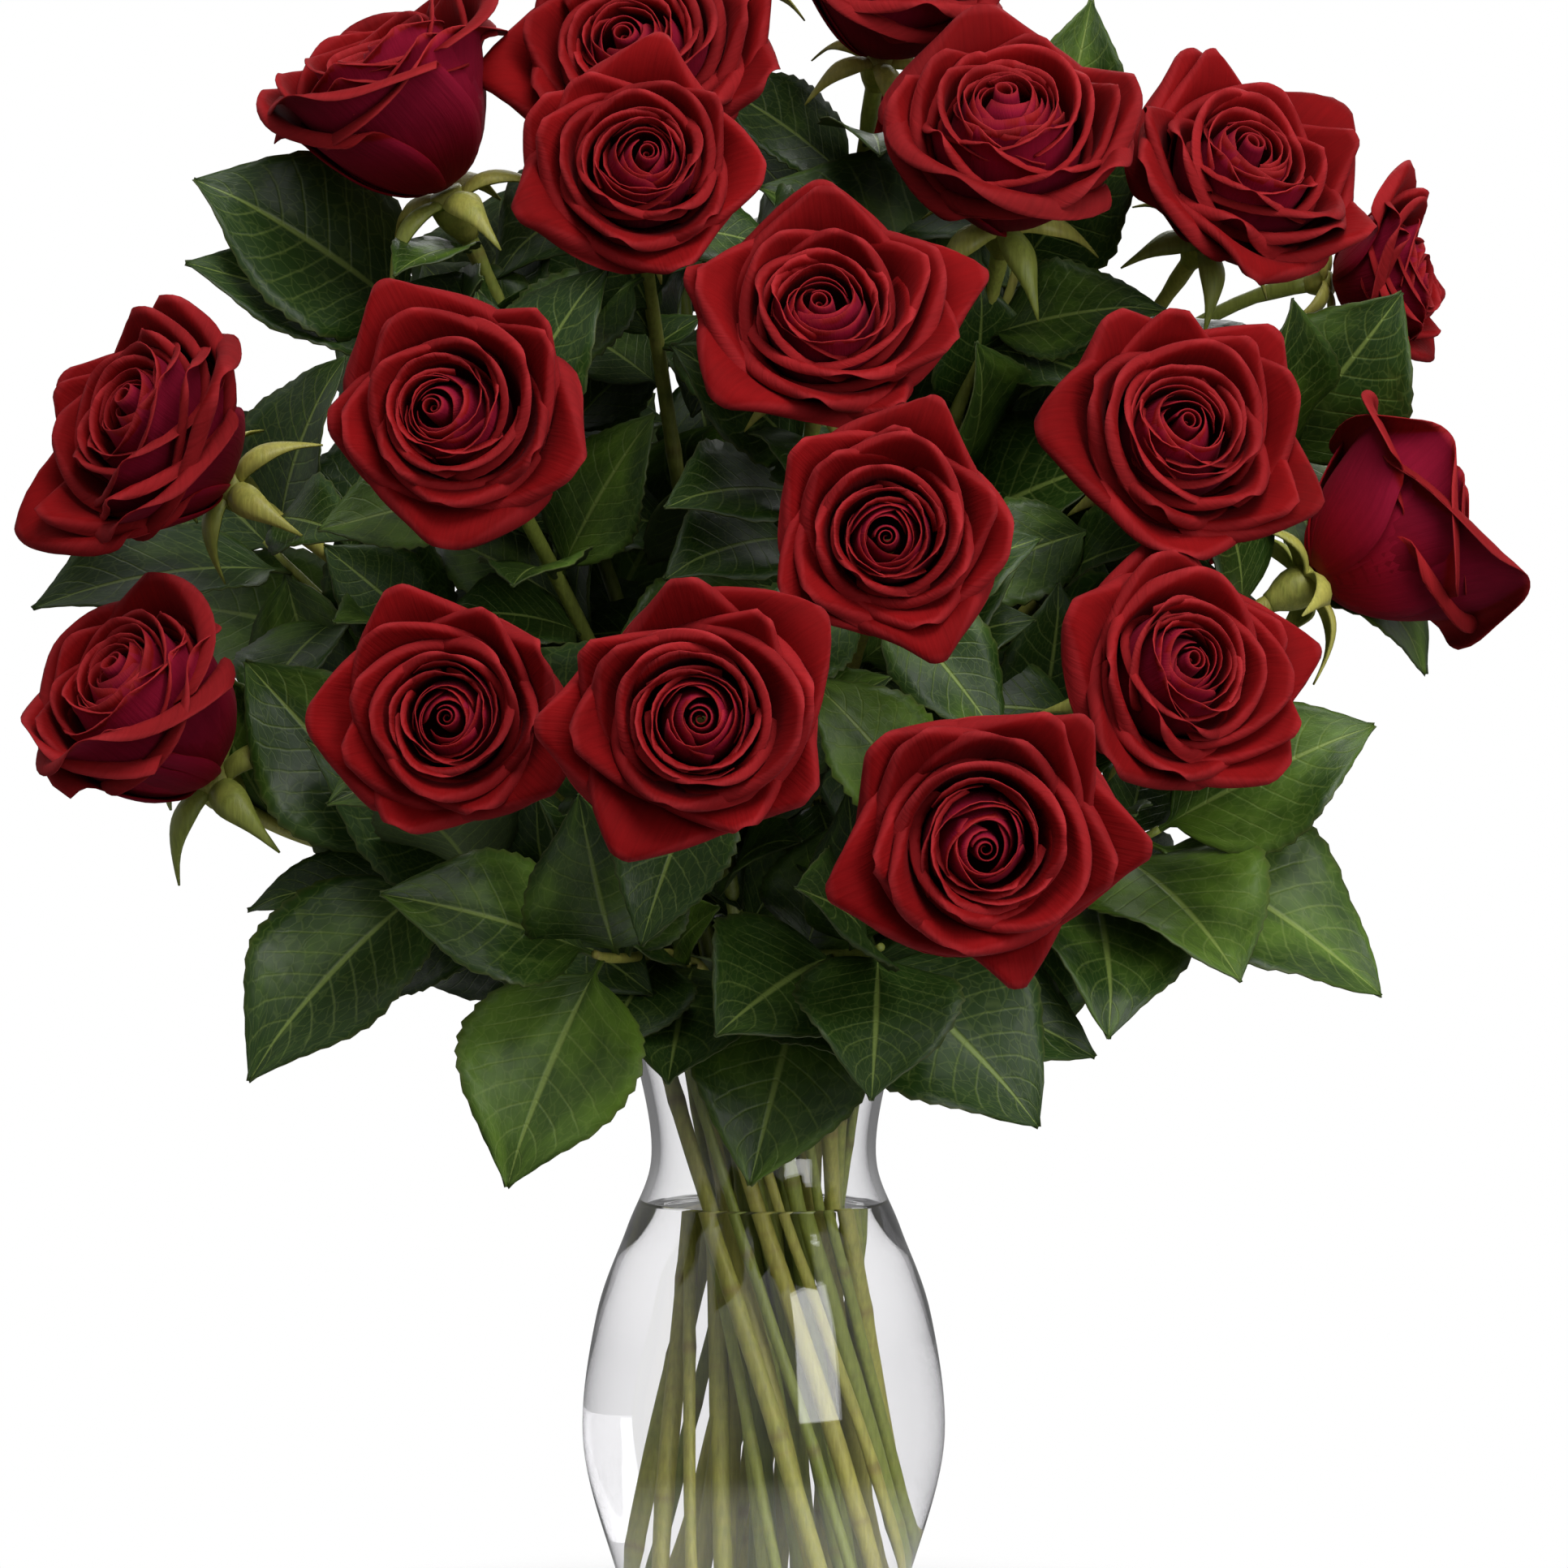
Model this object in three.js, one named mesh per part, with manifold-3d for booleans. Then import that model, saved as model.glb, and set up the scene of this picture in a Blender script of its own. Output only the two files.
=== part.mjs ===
// Two dozen long-stemmed red roses with broad-leaved greenery, standing in a clear glass vase of water.
// Millimetres, +Z up, the viewer stands at -Y. The origin is the middle of the vase's foot.
import * as THREE from "three";
import { mergeVertices } from "three/addons/utils/BufferGeometryUtils.js";
import Module from "manifold-3d";

const wasm = await Module();
wasm.setup();

// ---- driving dimensions -------------------------------------------------------------------------

const rimHeight = 232;
const glassWall = 3;
const glassFloor = 9;
const waterLine = 164;
const turnedSides = 20; // flats round the vase and the water
const gap = 0.3; // air between pieces that touch
const tiniestEdge = 0.03;

const roseStemRadius = 2.6;
const greenStemRadius = 1.7;
const stemSides = 5;

// Every stem runs straight from its foot, through the neck, to the rim. The whole sheaf is turned
// between neck and feet, as a hand-tied bunch is, so that the straight stems pass without touching.
const neckHeight = 178;
const neckReach = 28.5; // how far from the axis a stem may pass the neck
const neckSpacing = 8.2;
const spreadHeight = 36; // height at which the sheaf is spreadTimes as wide as at the neck
const spreadTimes = 1.5;
const spreadTurn = 80; // degrees

const leafThickness = 1.2; // at the midrib
const leafArch = 0.28; // how far a leaf's midrib bows up, as a share of its length
const leafFold = 0.2; // how far a leaf's edges stand above its midrib, as a share of its half width
const leafWave = 0.12; // and how much more or less than that, turn by turn
const leafRows = [0.13, 0.42, 0.74]; // where along a leaf its edge has its points
const leafRoom = 0.45; // air kept round a leaf while it grows
const roseLeafLength = 66;
const roseLeafWidth = 0.34; // half a rose leaf's width, as a share of its length
const longestLeaf = 96;
const frontDepth = 45; // leaves nearer the viewer than this face the viewer, the rest the back
const petalThickness = 1.6; // at the middle of a petal
const budHeight = 46; // from calyx to eye, on a bloom of size 1
const insideRings = [3, 4]; // of a bloom's rings of quads, those on the inner faces of its outer petals

// The vase's outside, from foot to rim, as radius and height.
const vaseOutline = [
  [38.5, 2], [41, 13], [51.7, 40], [62.3, 82], [57.7, 125], [47.2, 155],
  [38.9, neckHeight], [42, 205], [51, rimHeight],
];

// Where each bloom's eye is, which way it faces (yaw from the viewer towards +X, pitch above level),
// its size, how far it has opened, its turn about its own axis, and its stem's leaves. A leaf is where
// it sits along the stem (0 at the rim, 1 at the bloom) and its slope in the view (0 right, 90 up).
const roses = [
  { eye: [-135, -49, 563], yaw: -48, pitch: 56, size: 1.4, open: 0.74, turn: 20,
    leaves: [[0.84, 185], [0.7, 30]] },
  { eye: [-43, -58, 566], yaw: -6, pitch: 26, size: 1.2, open: 1.0, turn: 40,
    leaves: [[0.8, 200]] },
  { eye: [-40, -135, 510], yaw: 0, pitch: 16, size: 1.0, open: 0.92, turn: 0,
    leaves: [[0.86, 215], [0.75, -20]] },
  { eye: [47, -30, 600], yaw: 12, pitch: 50, size: 1.12, open: 0.85, turn: 70,
    leaves: [[0.86, 145]] },
  { eye: [82, -90, 536], yaw: 2, pitch: 40, size: 1.28, open: 0.78, turn: 25,
    leaves: [[0.84, 10], [0.7, 190]] },
  { eye: [170, -70, 524], yaw: 26, pitch: 34, size: 1.17, open: 0.98, turn: 64,
    leaves: [[0.84, 200], [0.9, -50]] },
  { eye: [234, -8, 485], yaw: 70, pitch: 4, size: 0.86, open: 0.92, turn: 15,
    leaves: [[0.8, 240]] },
  { eye: [22, -152, 466], yaw: 4, pitch: 28, size: 1.1, open: 1.0, turn: 20,
    leaves: [[0.8, -10], [0.6, 200]] },
  { eye: [-218, -90, 433], yaw: -46, pitch: 25, size: 1.26, open: 0.88, turn: 35,
    leaves: [[0.8, 60]] },
  { eye: [-97, -165, 428], yaw: -8, pitch: 12, size: 1.04, open: 0.95, turn: 37,
    leaves: [[0.84, 190], [0.66, 60]] },
  { eye: [141, -136, 427], yaw: 18, pitch: 20, size: 1.13, open: 0.98, turn: 66,
    leaves: [[0.86, 200], [0.7, 0]] },
  { eye: [39, -205, 387], yaw: 0, pitch: 8, size: 0.95, open: 0.95, turn: 70,
    leaves: [[0.8, 210], [0.6, 20]] },
  { eye: [239, -34, 406], yaw: 98, pitch: 28, size: 1.34, open: 0.8, turn: 24,
    leaves: [[0.9, 250]] },
  { eye: [-217, -100, 350], yaw: -38, pitch: 36, size: 1.42, open: 0.68, turn: 60,
    leaves: [[0.86, 100]] },
  { eye: [-98, -200, 330], yaw: -10, pitch: 5, size: 0.98, open: 0.94, turn: 23,
    leaves: [[0.8, 200]] },
  { eye: [-21, -240, 329], yaw: -4, pitch: 4, size: 1.04, open: 1.0, turn: 27,
    leaves: [[0.8, 250], [0.66, 30]] },
  { eye: [142, -152, 347], yaw: 28, pitch: 12, size: 1.08, open: 0.96, turn: 40,
    leaves: [[0.84, 30], [0.7, 200]] },
  { eye: [69, -228, 290], yaw: 6, pitch: -4, size: 1.08, open: 1.0, turn: 66,
    leaves: [[0.8, 130], [0.66, 0]] },
  { eye: [-12, 50, 640], yaw: 180, pitch: 74, size: 1.1, open: 0.9, turn: 20,
    leaves: [[0.84, 150]] },
  { eye: [-120, 140, 462], yaw: -145, pitch: 30, size: 1.1, open: 0.9, turn: 50,
    leaves: [[0.84, 170]] },
  { eye: [-70, 190, 352], yaw: -160, pitch: 8, size: 1.02, open: 0.95, turn: 5,
    leaves: [[0.8, 200]] },
  { eye: [82, 110, 552], yaw: 155, pitch: 42, size: 1.06, open: 0.9, turn: 35,
    leaves: [[0.84, 20]] },
  { eye: [154, 135, 430], yaw: 132, pitch: 20, size: 1.1, open: 0.88, turn: 60,
    leaves: [[0.84, 100]] },
  { eye: [48, 205, 350], yaw: 172, pitch: 8, size: 1.04, open: 0.96, turn: 15,
    leaves: [[0.8, 0]] },
];

// The greenery: where each branch ends, and each leaf as where it sits along the branch (0 at the
// rim, 1 at the end), its tip, and half its width as a share of its length.
const branches = [
  { name: "greenery_front_left", end: [-53, -120, 254], leaves: [
    [1, [-118, -152, 274], 0.32], [0.97, [-80, -142, 183], 0.42], [0.86, [-56, -165, 303], 0.34],
    [0.8, [-20, -128, 298], 0.3], [0.6, [-78, -92, 214], 0.3], [0.45, [-14, -92, 268], 0.36] ] },
  { name: "greenery_low_left", end: [-112, -66, 282], leaves: [
    [0.95, [-167, -92, 213], 0.36], [0.9, [-172, -56, 268], 0.2], [1, [-194, -60, 320], 0.32],
    [0.75, [-146, -90, 322], 0.3], [0.6, [-132, 10, 262], 0.3], [0.8, [-112, -140, 300], 0.28],
    [0.5, [-72, -104, 306], 0.34] ] },
  { name: "greenery_left", end: [-172, 0, 392], leaves: [
    [0.96, [-250, -48, 366], 0.32], [0.85, [-170, -50, 330], 0.34], [1, [-142, -36, 452], 0.36],
    [0.75, [-212, 50, 372], 0.32], [0.6, [-92, -78, 372], 0.34], [0.98, [-222, 56, 440], 0.32],
    [0.7, [-126, -50, 400], 0.36] ] },
  { name: "greenery_high_left", end: [-122, 14, 474], leaves: [
    [0.95, [-202, -26, 486], 0.28], [1, [-180, -24, 530], 0.4], [0.92, [-94, -8, 526], 0.38],
    [0.72, [-74, -62, 488], 0.34], [0.55, [-40, -72, 424], 0.36], [0.8, [-172, 76, 520], 0.32],
    [0.65, [-128, -60, 420], 0.32], [0.5, [-26, -24, 456], 0.36], [0.85, [-62, -26, 512], 0.34] ] },
  { name: "greenery_high_right", end: [98, 10, 520], leaves: [
    [1, [112, -14, 576], 0.32], [0.9, [142, -44, 512], 0.36], [0.85, [30, -20, 556], 0.4],
    [0.95, [58, 8, 572], 0.34], [0.6, [74, -90, 462], 0.34], [0.7, [132, 62, 500], 0.32],
    [0.45, [10, -96, 418], 0.36], [0.55, [102, -46, 484], 0.36] ] },
  { name: "greenery_right", end: [176, 2, 424], leaves: [
    [1, [216, -30, 474], 0.42], [0.97, [216, -46, 352], 0.4], [0.95, [206, 62, 430], 0.32],
    [0.75, [112, -70, 470], 0.34], [0.7, [92, -112, 392], 0.34], [0.6, [170, 62, 350], 0.32],
    [0.5, [62, -92, 352], 0.34], [0.42, [112, -70, 322], 0.34], [0.9, [160, -60, 486], 0.36] ] },
  { name: "greenery_low_right", end: [132, -52, 293], leaves: [
    [1, [202, -62, 328], 0.36], [0.97, [204, -66, 238], 0.36], [0.8, [112, -112, 230], 0.42],
    [0.88, [152, -98, 232], 0.44], [0.6, [150, 22, 264], 0.32], [0.7, [116, -110, 316], 0.3],
    [0.45, [72, -100, 286], 0.34] ] },
  { name: "greenery_front_right", end: [38, -112, 256], leaves: [
    [1, [34, -162, 211], 0.42], [0.88, [88, -122, 200], 0.44], [0.72, [108, -92, 220], 0.32],
    [0.66, [-14, -142, 230], 0.44], [0.45, [-4, -96, 178], 0.42], [0.92, [10, -176, 276], 0.3],
    [0.4, [34, -90, 304], 0.34] ] },
  { name: "greenery_back_left", end: [-80, 118, 380], leaves: [
    [1, [-140, 176, 396], 0.34], [0.9, [-62, 176, 440], 0.34], [0.8, [-158, 128, 330], 0.34],
    [0.6, [-118, 136, 250], 0.36], [0.5, [-40, 146, 262], 0.36], [0.7, [-20, 168, 300], 0.3],
    [0.95, [-30, 150, 490], 0.34], [0.35, [-56, 92, 196], 0.36] ] },
  { name: "greenery_back_right", end: [84, 112, 390], leaves: [
    [1, [104, 182, 420], 0.34], [0.9, [36, 168, 470], 0.34], [0.8, [176, 108, 330], 0.34],
    [0.6, [120, 134, 244], 0.36], [0.45, [44, 132, 214], 0.36], [0.7, [108, 176, 296], 0.3],
    [0.95, [128, 110, 500], 0.34], [0.3, [84, 60, 198], 0.36] ] },
];

// Turns tried, one after the other, on a leaf that would touch something: swing and lift, degrees.
const leafTurns = [
  [0, 0], [0, 12], [12, 0], [-12, 0], [0, -12], [14, 14], [-14, 14], [24, 0], [-24, 0], [0, 26],
  [0, -26], [26, 20], [-26, 20], [26, -20], [-26, -20], [40, 0], [-40, 0], [0, 42], [44, 30], [-44, 30],
  [62, 0], [-62, 0], [60, 40], [-60, 40], [60, -30], [-60, -30], [0, 62],
];
const leafSizes = [1, 0.84, 0.68]; // and then a smaller leaf

const petalRed = new THREE.MeshStandardMaterial({ name: "petal", color: 0x9e0a14, roughness: 0.65 });
const stemGreen = new THREE.MeshStandardMaterial({ name: "stem", color: 0x4f6b2c, roughness: 0.55 });
const leafGreen = new THREE.MeshStandardMaterial({ name: "leaf", color: 0x1f4a1c, roughness: 0.4 });
const clearGlass = new THREE.MeshStandardMaterial({
  name: "glass", color: 0xf2f7f6, roughness: 0.03, transparent: true, opacity: 0.3,
});
const clearWater = new THREE.MeshStandardMaterial({
  name: "water", color: 0xe8f1ef, roughness: 0.02, transparent: true, opacity: 0.3,
});

// ---- solids ---------------------------------------------------------------------------------------

// A closed three.js geometry as a solid.
function solidOf(geometry) {
  const bare = geometry.index ? geometry.toNonIndexed() : geometry.clone();
  bare.deleteAttribute("normal");
  bare.deleteAttribute("uv");
  const merged = mergeVertices(bare, 1e-4);
  const mesh = new wasm.Mesh({
    numProp: 3,
    vertProperties: new Float32Array(merged.attributes.position.array),
    triVerts: new Uint32Array(merged.index.array),
  });
  return new wasm.Manifold(mesh);
}

// A closed surface from its points and triangles, as a solid, turned right side out.
function solidFrom(points, triangles) {
  const geometry = new THREE.BufferGeometry();
  geometry.setAttribute("position", new THREE.Float32BufferAttribute(points.flatMap((p) => p.toArray()), 3));
  geometry.setIndex(triangles.flat());
  const solid = solidOf(geometry);
  if (solid.volume() > 0) return solid;
  geometry.setIndex(triangles.flatMap(([a, b, c]) => [a, c, b]));
  return solidOf(geometry);
}

// A quad between points a and b and the next two, c and d, split along a to d, or else along b to c.
function quad(a, b, c, d, alongAD) {
  return alongAD ? [[a, b, d], [a, d, c]] : [[a, b, c], [b, d, c]];
}

// The triangles of a mesh that goes round an axis: a point at the bottom, columns of points, each
// from bottom to top, and a point at the top. Where the columns come down again, over the inner face
// of a thin wall, the quads are split the other way, to lie alike on both faces.
function turnedTriangles(columns, rings, comingDown = []) {
  const at = (column, ring) => 1 + (column % columns) * rings + ring;
  const top = 1 + columns * rings;
  const triangles = [];
  for (let column = 0; column < columns; column++) {
    triangles.push([0, at(column + 1, 0), at(column, 0)]);
    triangles.push([top, at(column, rings - 1), at(column + 1, rings - 1)]);
    for (let ring = 0; ring < rings - 1; ring++) {
      const [a, b] = [at(column, ring), at(column + 1, ring)];
      triangles.push(...quad(a, b, a + 1, b + 1, !comingDown.includes(ring)));
    }
  }
  return triangles;
}

// A solid as a named mesh. Scraps that a cut has freed are dropped, and its tiniest edges closed up.
function namedMesh(name, solid, material) {
  const bodies = solid.decompose().sort((a, b) => b.volume() - a.volume());
  const { vertProperties, triVerts } = bodies[0].simplify(tiniestEdge).getMesh();
  const geometry = new THREE.BufferGeometry();
  geometry.setAttribute("position", new THREE.BufferAttribute(new Float32Array(vertProperties), 3));
  geometry.setIndex(new THREE.BufferAttribute(new Uint32Array(triVerts), 1));
  geometry.computeVertexNormals();
  const mesh = new THREE.Mesh(geometry, material);
  mesh.name = name;
  return mesh;
}

function boxesMeet(a, b) {
  return [0, 1, 2].every((k) => a.min[k] <= b.max[k] && b.min[k] <= a.max[k]);
}

// The volume that two solids share, in cubic millimetres.
function shared(a, b) {
  return boxesMeet(a.boundingBox(), b.boundingBox()) ? a.intersect(b).volume() : 0;
}

const joined = (solids) => solids.reduce((all, one) => all.add(one));
const degrees = THREE.MathUtils.degToRad;
const lerp = THREE.MathUtils.lerp;
const up = new THREE.Vector3(0, 0, 1);

// ---- the vase and its water -------------------------------------------------------------------------

const outside = new THREE.SplineCurve(vaseOutline.map((p) => new THREE.Vector2(...p))).getPoints(9);

// The glass's outer radius at a height.
function glassRadius(z) {
  const k = Math.max(1, outside.findIndex((p) => p.y >= z));
  const [low, high] = [outside[k - 1], outside[k]];
  return lerp(low.x, high.x, THREE.MathUtils.clamp((z - low.y) / (high.y - low.y), 0, 1));
}

// The inside of the glass between two heights, drawn in by a margin, from the bottom up.
function insideOutline(bottom, top, margin) {
  const radius = (z) => glassRadius(z) - glassWall - margin;
  const between = outside.filter((p) => p.y > bottom + 4 && p.y < top - 4);
  return [
    new THREE.Vector2(0, bottom),
    new THREE.Vector2(radius(bottom) - 3, bottom),
    ...[bottom + 3, ...between.map((p) => p.y), top].map((z) => new THREE.Vector2(radius(z), z)),
  ];
}

function makeVase() {
  const inner = insideOutline(glassFloor, rimHeight, 0).reverse();
  const foot = [new THREE.Vector2(0, 0), new THREE.Vector2(36.5, 0)];
  return solidOf(new THREE.LatheGeometry([...foot, ...outside, ...inner], turnedSides)).rotate([90, 0, 0]);
}

function makeWater(stems) {
  const outline = insideOutline(glassFloor + gap, waterLine, gap);
  outline.push(new THREE.Vector2(0, waterLine));
  const body = solidOf(new THREE.LatheGeometry(outline, turnedSides)).rotate([90, 0, 0]);
  return body.subtract(joined(stems.map((stem) => stem.hole)));
}

// ---- stems ------------------------------------------------------------------------------------------

// A path through given stations, one station a step.
class StemPath extends THREE.Curve {
  constructor(stations) {
    super();
    this.stations = stations;
  }
  getPoint(t, target = new THREE.Vector3()) {
    const at = THREE.MathUtils.clamp(t, 0, 1) * (this.stations.length - 1);
    const k = Math.min(Math.floor(at), this.stations.length - 2);
    return target.lerpVectors(this.stations[k], this.stations[k + 1], at - k);
  }
  getUtoTmapping(u) {
    return u;
  }
}

function tube(stations, radius) {
  const section = new THREE.Shape();
  for (let k = 0; k < stemSides; k++) {
    const turn = (k / stemSides) * 2 * Math.PI;
    const point = [radius * Math.cos(turn), radius * Math.sin(turn)];
    if (k) section.lineTo(...point);
    else section.moveTo(...point);
  }
  const settings = { steps: stations.length - 1, extrudePath: new StemPath(stations) };
  return solidOf(new THREE.ExtrudeGeometry(section, settings));
}

function facing(yaw, pitch) {
  const [a, b] = [degrees(yaw), degrees(pitch)];
  return new THREE.Vector3(Math.sin(a) * Math.cos(b), -Math.cos(a) * Math.cos(b), Math.sin(b));
}

// Where a stem that passes the neck at a spot is at another height: the sheaf's turn and spread.
function straightPart(spot, z) {
  const share = (neckHeight - z) / (neckHeight - spreadHeight);
  const real = 1 - share + share * spreadTimes * Math.cos(degrees(spreadTurn));
  const imaginary = share * spreadTimes * Math.sin(degrees(spreadTurn));
  return new THREE.Vector3(spot.x * real - spot.y * imaginary, spot.x * imaginary + spot.y * real, z);
}

// The lowest point that a stem reaches inside the glass, on its floor or against its wall.
function footHeight(spot, radius) {
  let z = glassFloor + gap + 1.2;
  const room = (height) => (glassRadius(height) - glassWall) * Math.cos(Math.PI / turnedSides) - radius - 1.6;
  while (Math.hypot(straightPart(spot, z).x, straightPart(spot, z).y) > room(z)) z += 1;
  return z;
}

// Spots at the neck, one for each goal, kept apart and inside the neck. A goal's bearing and its
// slope from the neck give the first guess.
function neckSpots(goals) {
  const rim = straightPart(new THREE.Vector3(1, 0, 0), rimHeight);
  const lead = Math.atan2(rim.y, rim.x);
  const spots = goals.map((goal) => {
    const slope = Math.atan2(Math.hypot(goal.x, goal.y), goal.z - neckHeight);
    const bearing = Math.atan2(goal.y, goal.x) - lead;
    const reach = neckReach * Math.min(1, slope / degrees(56));
    return new THREE.Vector3(reach * Math.cos(bearing), reach * Math.sin(bearing), 0);
  });
  for (let round = 0; round < 200; round++) {
    spots.forEach((a, i) => {
      spots.slice(i + 1).forEach((b) => {
        const apart = b.clone().sub(a);
        const short = (neckSpacing - apart.length()) / 2;
        if (short <= 0) return;
        apart.setLength(short);
        a.sub(apart);
        b.add(apart);
      });
    });
    spots.forEach((spot) => spot.clampLength(0, neckReach));
  }
  return spots;
}

// A stem from its foot to an end point, arriving there along a direction.
function makeStem(spot, end, heading, radius) {
  const foot = straightPart(spot, footHeight(spot, radius));
  const rim = straightPart(spot, rimHeight + 4);
  const rise = rim.clone().sub(foot).normalize();
  const reach = end.distanceTo(rim);
  const bend = new THREE.CubicBezierCurve3(
    rim,
    rim.clone().addScaledVector(rise, 0.3 * reach),
    end.clone().addScaledVector(heading, -0.32 * reach),
    end,
  );
  const stations = bend.getPoints(4);
  const below = foot.clone().addScaledVector(rise, -gap);
  const above = straightPart(spot, waterLine + 6);
  return {
    bend: new StemPath(stations),
    rod: tube([foot, ...stations], radius),
    hole: tube([below, above], radius + gap + 0.12),
  };
}

// ---- leaves and sepals --------------------------------------------------------------------------------

// A thin blade that runs from a root point to a tip through rows of [left, top, right, underside],
// with both its faces split alike.
function spindle(root, rows, tip) {
  const points = [root, ...rows.flat(), tip];
  const triangles = [];
  const last = points.length - 1;
  for (let k = 0; k < 4; k++) {
    const next = (k + 1) % 4;
    triangles.push([0, 1 + next, 1 + k]);
    rows.slice(1).forEach((_, j) => {
      const row = 1 + 4 * j;
      triangles.push(...quad(row + k, row + next, row + 4 + k, row + 4 + next, k % 2 === 0));
    });
    triangles.push([last, last - 4 + k, last - 4 + next]);
  }
  return solidFrom(points, triangles);
}

// A leaf's half width along its length, as shares: a short stalk, a broad blade and a drawn-out tip.
function leafOutline(t) {
  if (t < 0.12) return 0.05;
  const along = (t - 0.12) / 0.88;
  return Math.pow(Math.sin(Math.PI * Math.pow(along, 0.8)), 0.9) * (1 - 0.15 * along);
}

// The place that a leaf turns its back to.
function leafOrigin(place) {
  return new THREE.Vector3(0.4 * place.x, place.y < frontDepth ? 150 : -80, place.z - 70);
}

// A leaf from root to tip whose upper face looks away from the bouquet's middle.
function leafBlade(root, tip, widthShare, grow) {
  const along = tip.clone().sub(root);
  const length = along.length();
  along.normalize();
  const middle = root.clone().lerp(tip, 0.5);
  const outward = middle.clone().sub(leafOrigin(middle)).setLength(1).addScaledVector(up, 0.2);
  const across = along.clone().cross(outward).normalize();
  const face = across.clone().cross(along);
  const rows = leafRows.map((t, k) => {
    const half = widthShare * length * leafOutline(t) + grow;
    const rib = root.clone().addScaledVector(along, t * length);
    rib.addScaledVector(face, leafArch * length * t * (1 - t));
    const wave = leafWave * half * (k % 2 ? 1 : -1);
    const lift = leafFold * half;
    const thick = leafThickness / 2 + grow;
    return [
      rib.clone().addScaledVector(across, -half).addScaledVector(face, lift + wave),
      rib.clone().addScaledVector(face, thick),
      rib.clone().addScaledVector(across, half).addScaledVector(face, lift - wave),
      rib.clone().addScaledVector(face, -thick),
    ];
  });
  return spindle(root, rows, tip.clone().addScaledVector(along, grow));
}

// The leaf in the first of its turns and sizes that touches nothing, or null.
function growLeaf(root, tip, widthShare, others, own) {
  const aim = tip.clone().sub(root).clampLength(0, longestLeaf);
  const outward = root.clone().sub(leafOrigin(root)).normalize();
  const side = aim.clone().cross(outward).normalize();
  for (const size of leafSizes) {
    for (const [swing, lift] of leafTurns) {
      const turned = aim.clone().applyAxisAngle(side, degrees(lift)).applyAxisAngle(outward, degrees(swing));
      const end = root.clone().addScaledVector(turned, size);
      const roomy = leafBlade(root, end, widthShare, leafRoom);
      const blade = leafBlade(root, end, widthShare, 0);
      if (others.some((solid) => shared(roomy, solid) > 0 || shared(blade, solid) > 0)) continue;
      if (own.some((leaf) => shared(blade, leaf) > 6)) continue;
      return blade;
    }
  }
  return null;
}

// The swelling under a bloom and its five turned-back sepals, as one star-shaped mesh.
function makeCalyx(size) {
  const atSepal = [[5, -7], [25, -15], [9, -1.8], [4, -gap]];
  const between = [[5, -7], [5.6, -4], [5.6, -1.4], [4, -gap]];
  const columns = 10;
  const rings = atSepal.length;
  const points = [new THREE.Vector3(0, 0, -14)];
  for (let column = 0; column < columns; column++) {
    const turn = (column / columns) * 2 * Math.PI;
    (column % 2 ? between : atSepal).forEach(([radius, height]) => {
      points.push(new THREE.Vector3(radius * Math.cos(turn), radius * Math.sin(turn), height));
    });
  }
  points.push(new THREE.Vector3(0, 0, -gap));
  return solidFrom(points, turnedTriangles(columns, rings)).scale([size, size, size]);
}

// ---- blooms -------------------------------------------------------------------------------------------

// The run of a petal's middle line, as radius and height over the calyx. Layer 0 is the innermost
// and stands closed, layer 1 the outermost and is cupped and turned out at its lip.
function petalRun(layer, along) {
  const base = 30 + 50 * Math.sqrt(layer);
  const belly = 10 * layer;
  const flare = -45 + 95 * Math.pow(layer, 1.7);
  const lip = 15 + 50 * layer;
  const length = 42 + 12 * layer;
  let [radius, height] = [3, 0.6];
  const steps = 12;
  for (let k = 0; k < steps; k++) {
    const v = ((k + 0.5) / steps) * along;
    const lean = base * (1 - v) ** 2 + 2 * belly * v * (1 - v) + flare * v ** 2 + lip * v ** 6;
    radius += (length * along * Math.sin(degrees(lean))) / steps;
    height += (length * along * Math.cos(degrees(lean))) / steps;
  }
  return [Math.max(radius, 2), height];
}

// A point on a petal's outside, or as deep below it as the inset says.
function onPetal(layer, along, inset) {
  const [radius, height] = petalRun(layer, along);
  const [nextRadius, nextHeight] = petalRun(layer, along + 0.01);
  const rising = new THREE.Vector2(nextRadius - radius, nextHeight - height).normalize();
  return [radius - inset * rising.y, height + inset * rising.x];
}

// One line of points up a bloom's outside, over the lips of its outer and middle petals, and down
// between them, to its furled heart. Every column of the bloom's mesh is such a line. In each ring
// of petals one edge is tucked in and the other stands out over the next petal.
function bloomColumn(rose, column) {
  const outer = Math.floor(column / 3);
  const place = column % 3;
  const inner = (column + 2) % 5;
  const spread = rose.open * [0.83, 0.94, 1][place];
  const lip = [0.84, 1, 0.87][place] * (1 + 0.07 * Math.sin(rose.turn + 2.4 * outer));
  const middle = rose.open * lerp(0.46, 0.64, inner / 4);
  const middleLip = [0.86, 0.97, 1, 0.98, 0.9][inner];
  const furl = lerp(0.5, 1, rose.open) * (1 - 0.09 * inner);
  const [outsideRadius, outsideHeight] = onPetal(spread, 0.42, 2);
  const [insideRadius, insideHeight] = onPetal(middle, 0.5, 0);
  return [
    onPetal(spread, 0.3, 0),
    onPetal(spread, 0.64, 0),
    onPetal(spread, lip, 0),
    onPetal(spread, lip, petalThickness * 0.7),
    onPetal(spread, 0.64, petalThickness),
    [(outsideRadius + insideRadius) / 2 + 1, Math.max(outsideHeight, insideHeight)],
    onPetal(middle, middleLip, 0),
    [15.5 * furl, 34],
    [10 * furl, 43.5],
  ];
}

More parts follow.
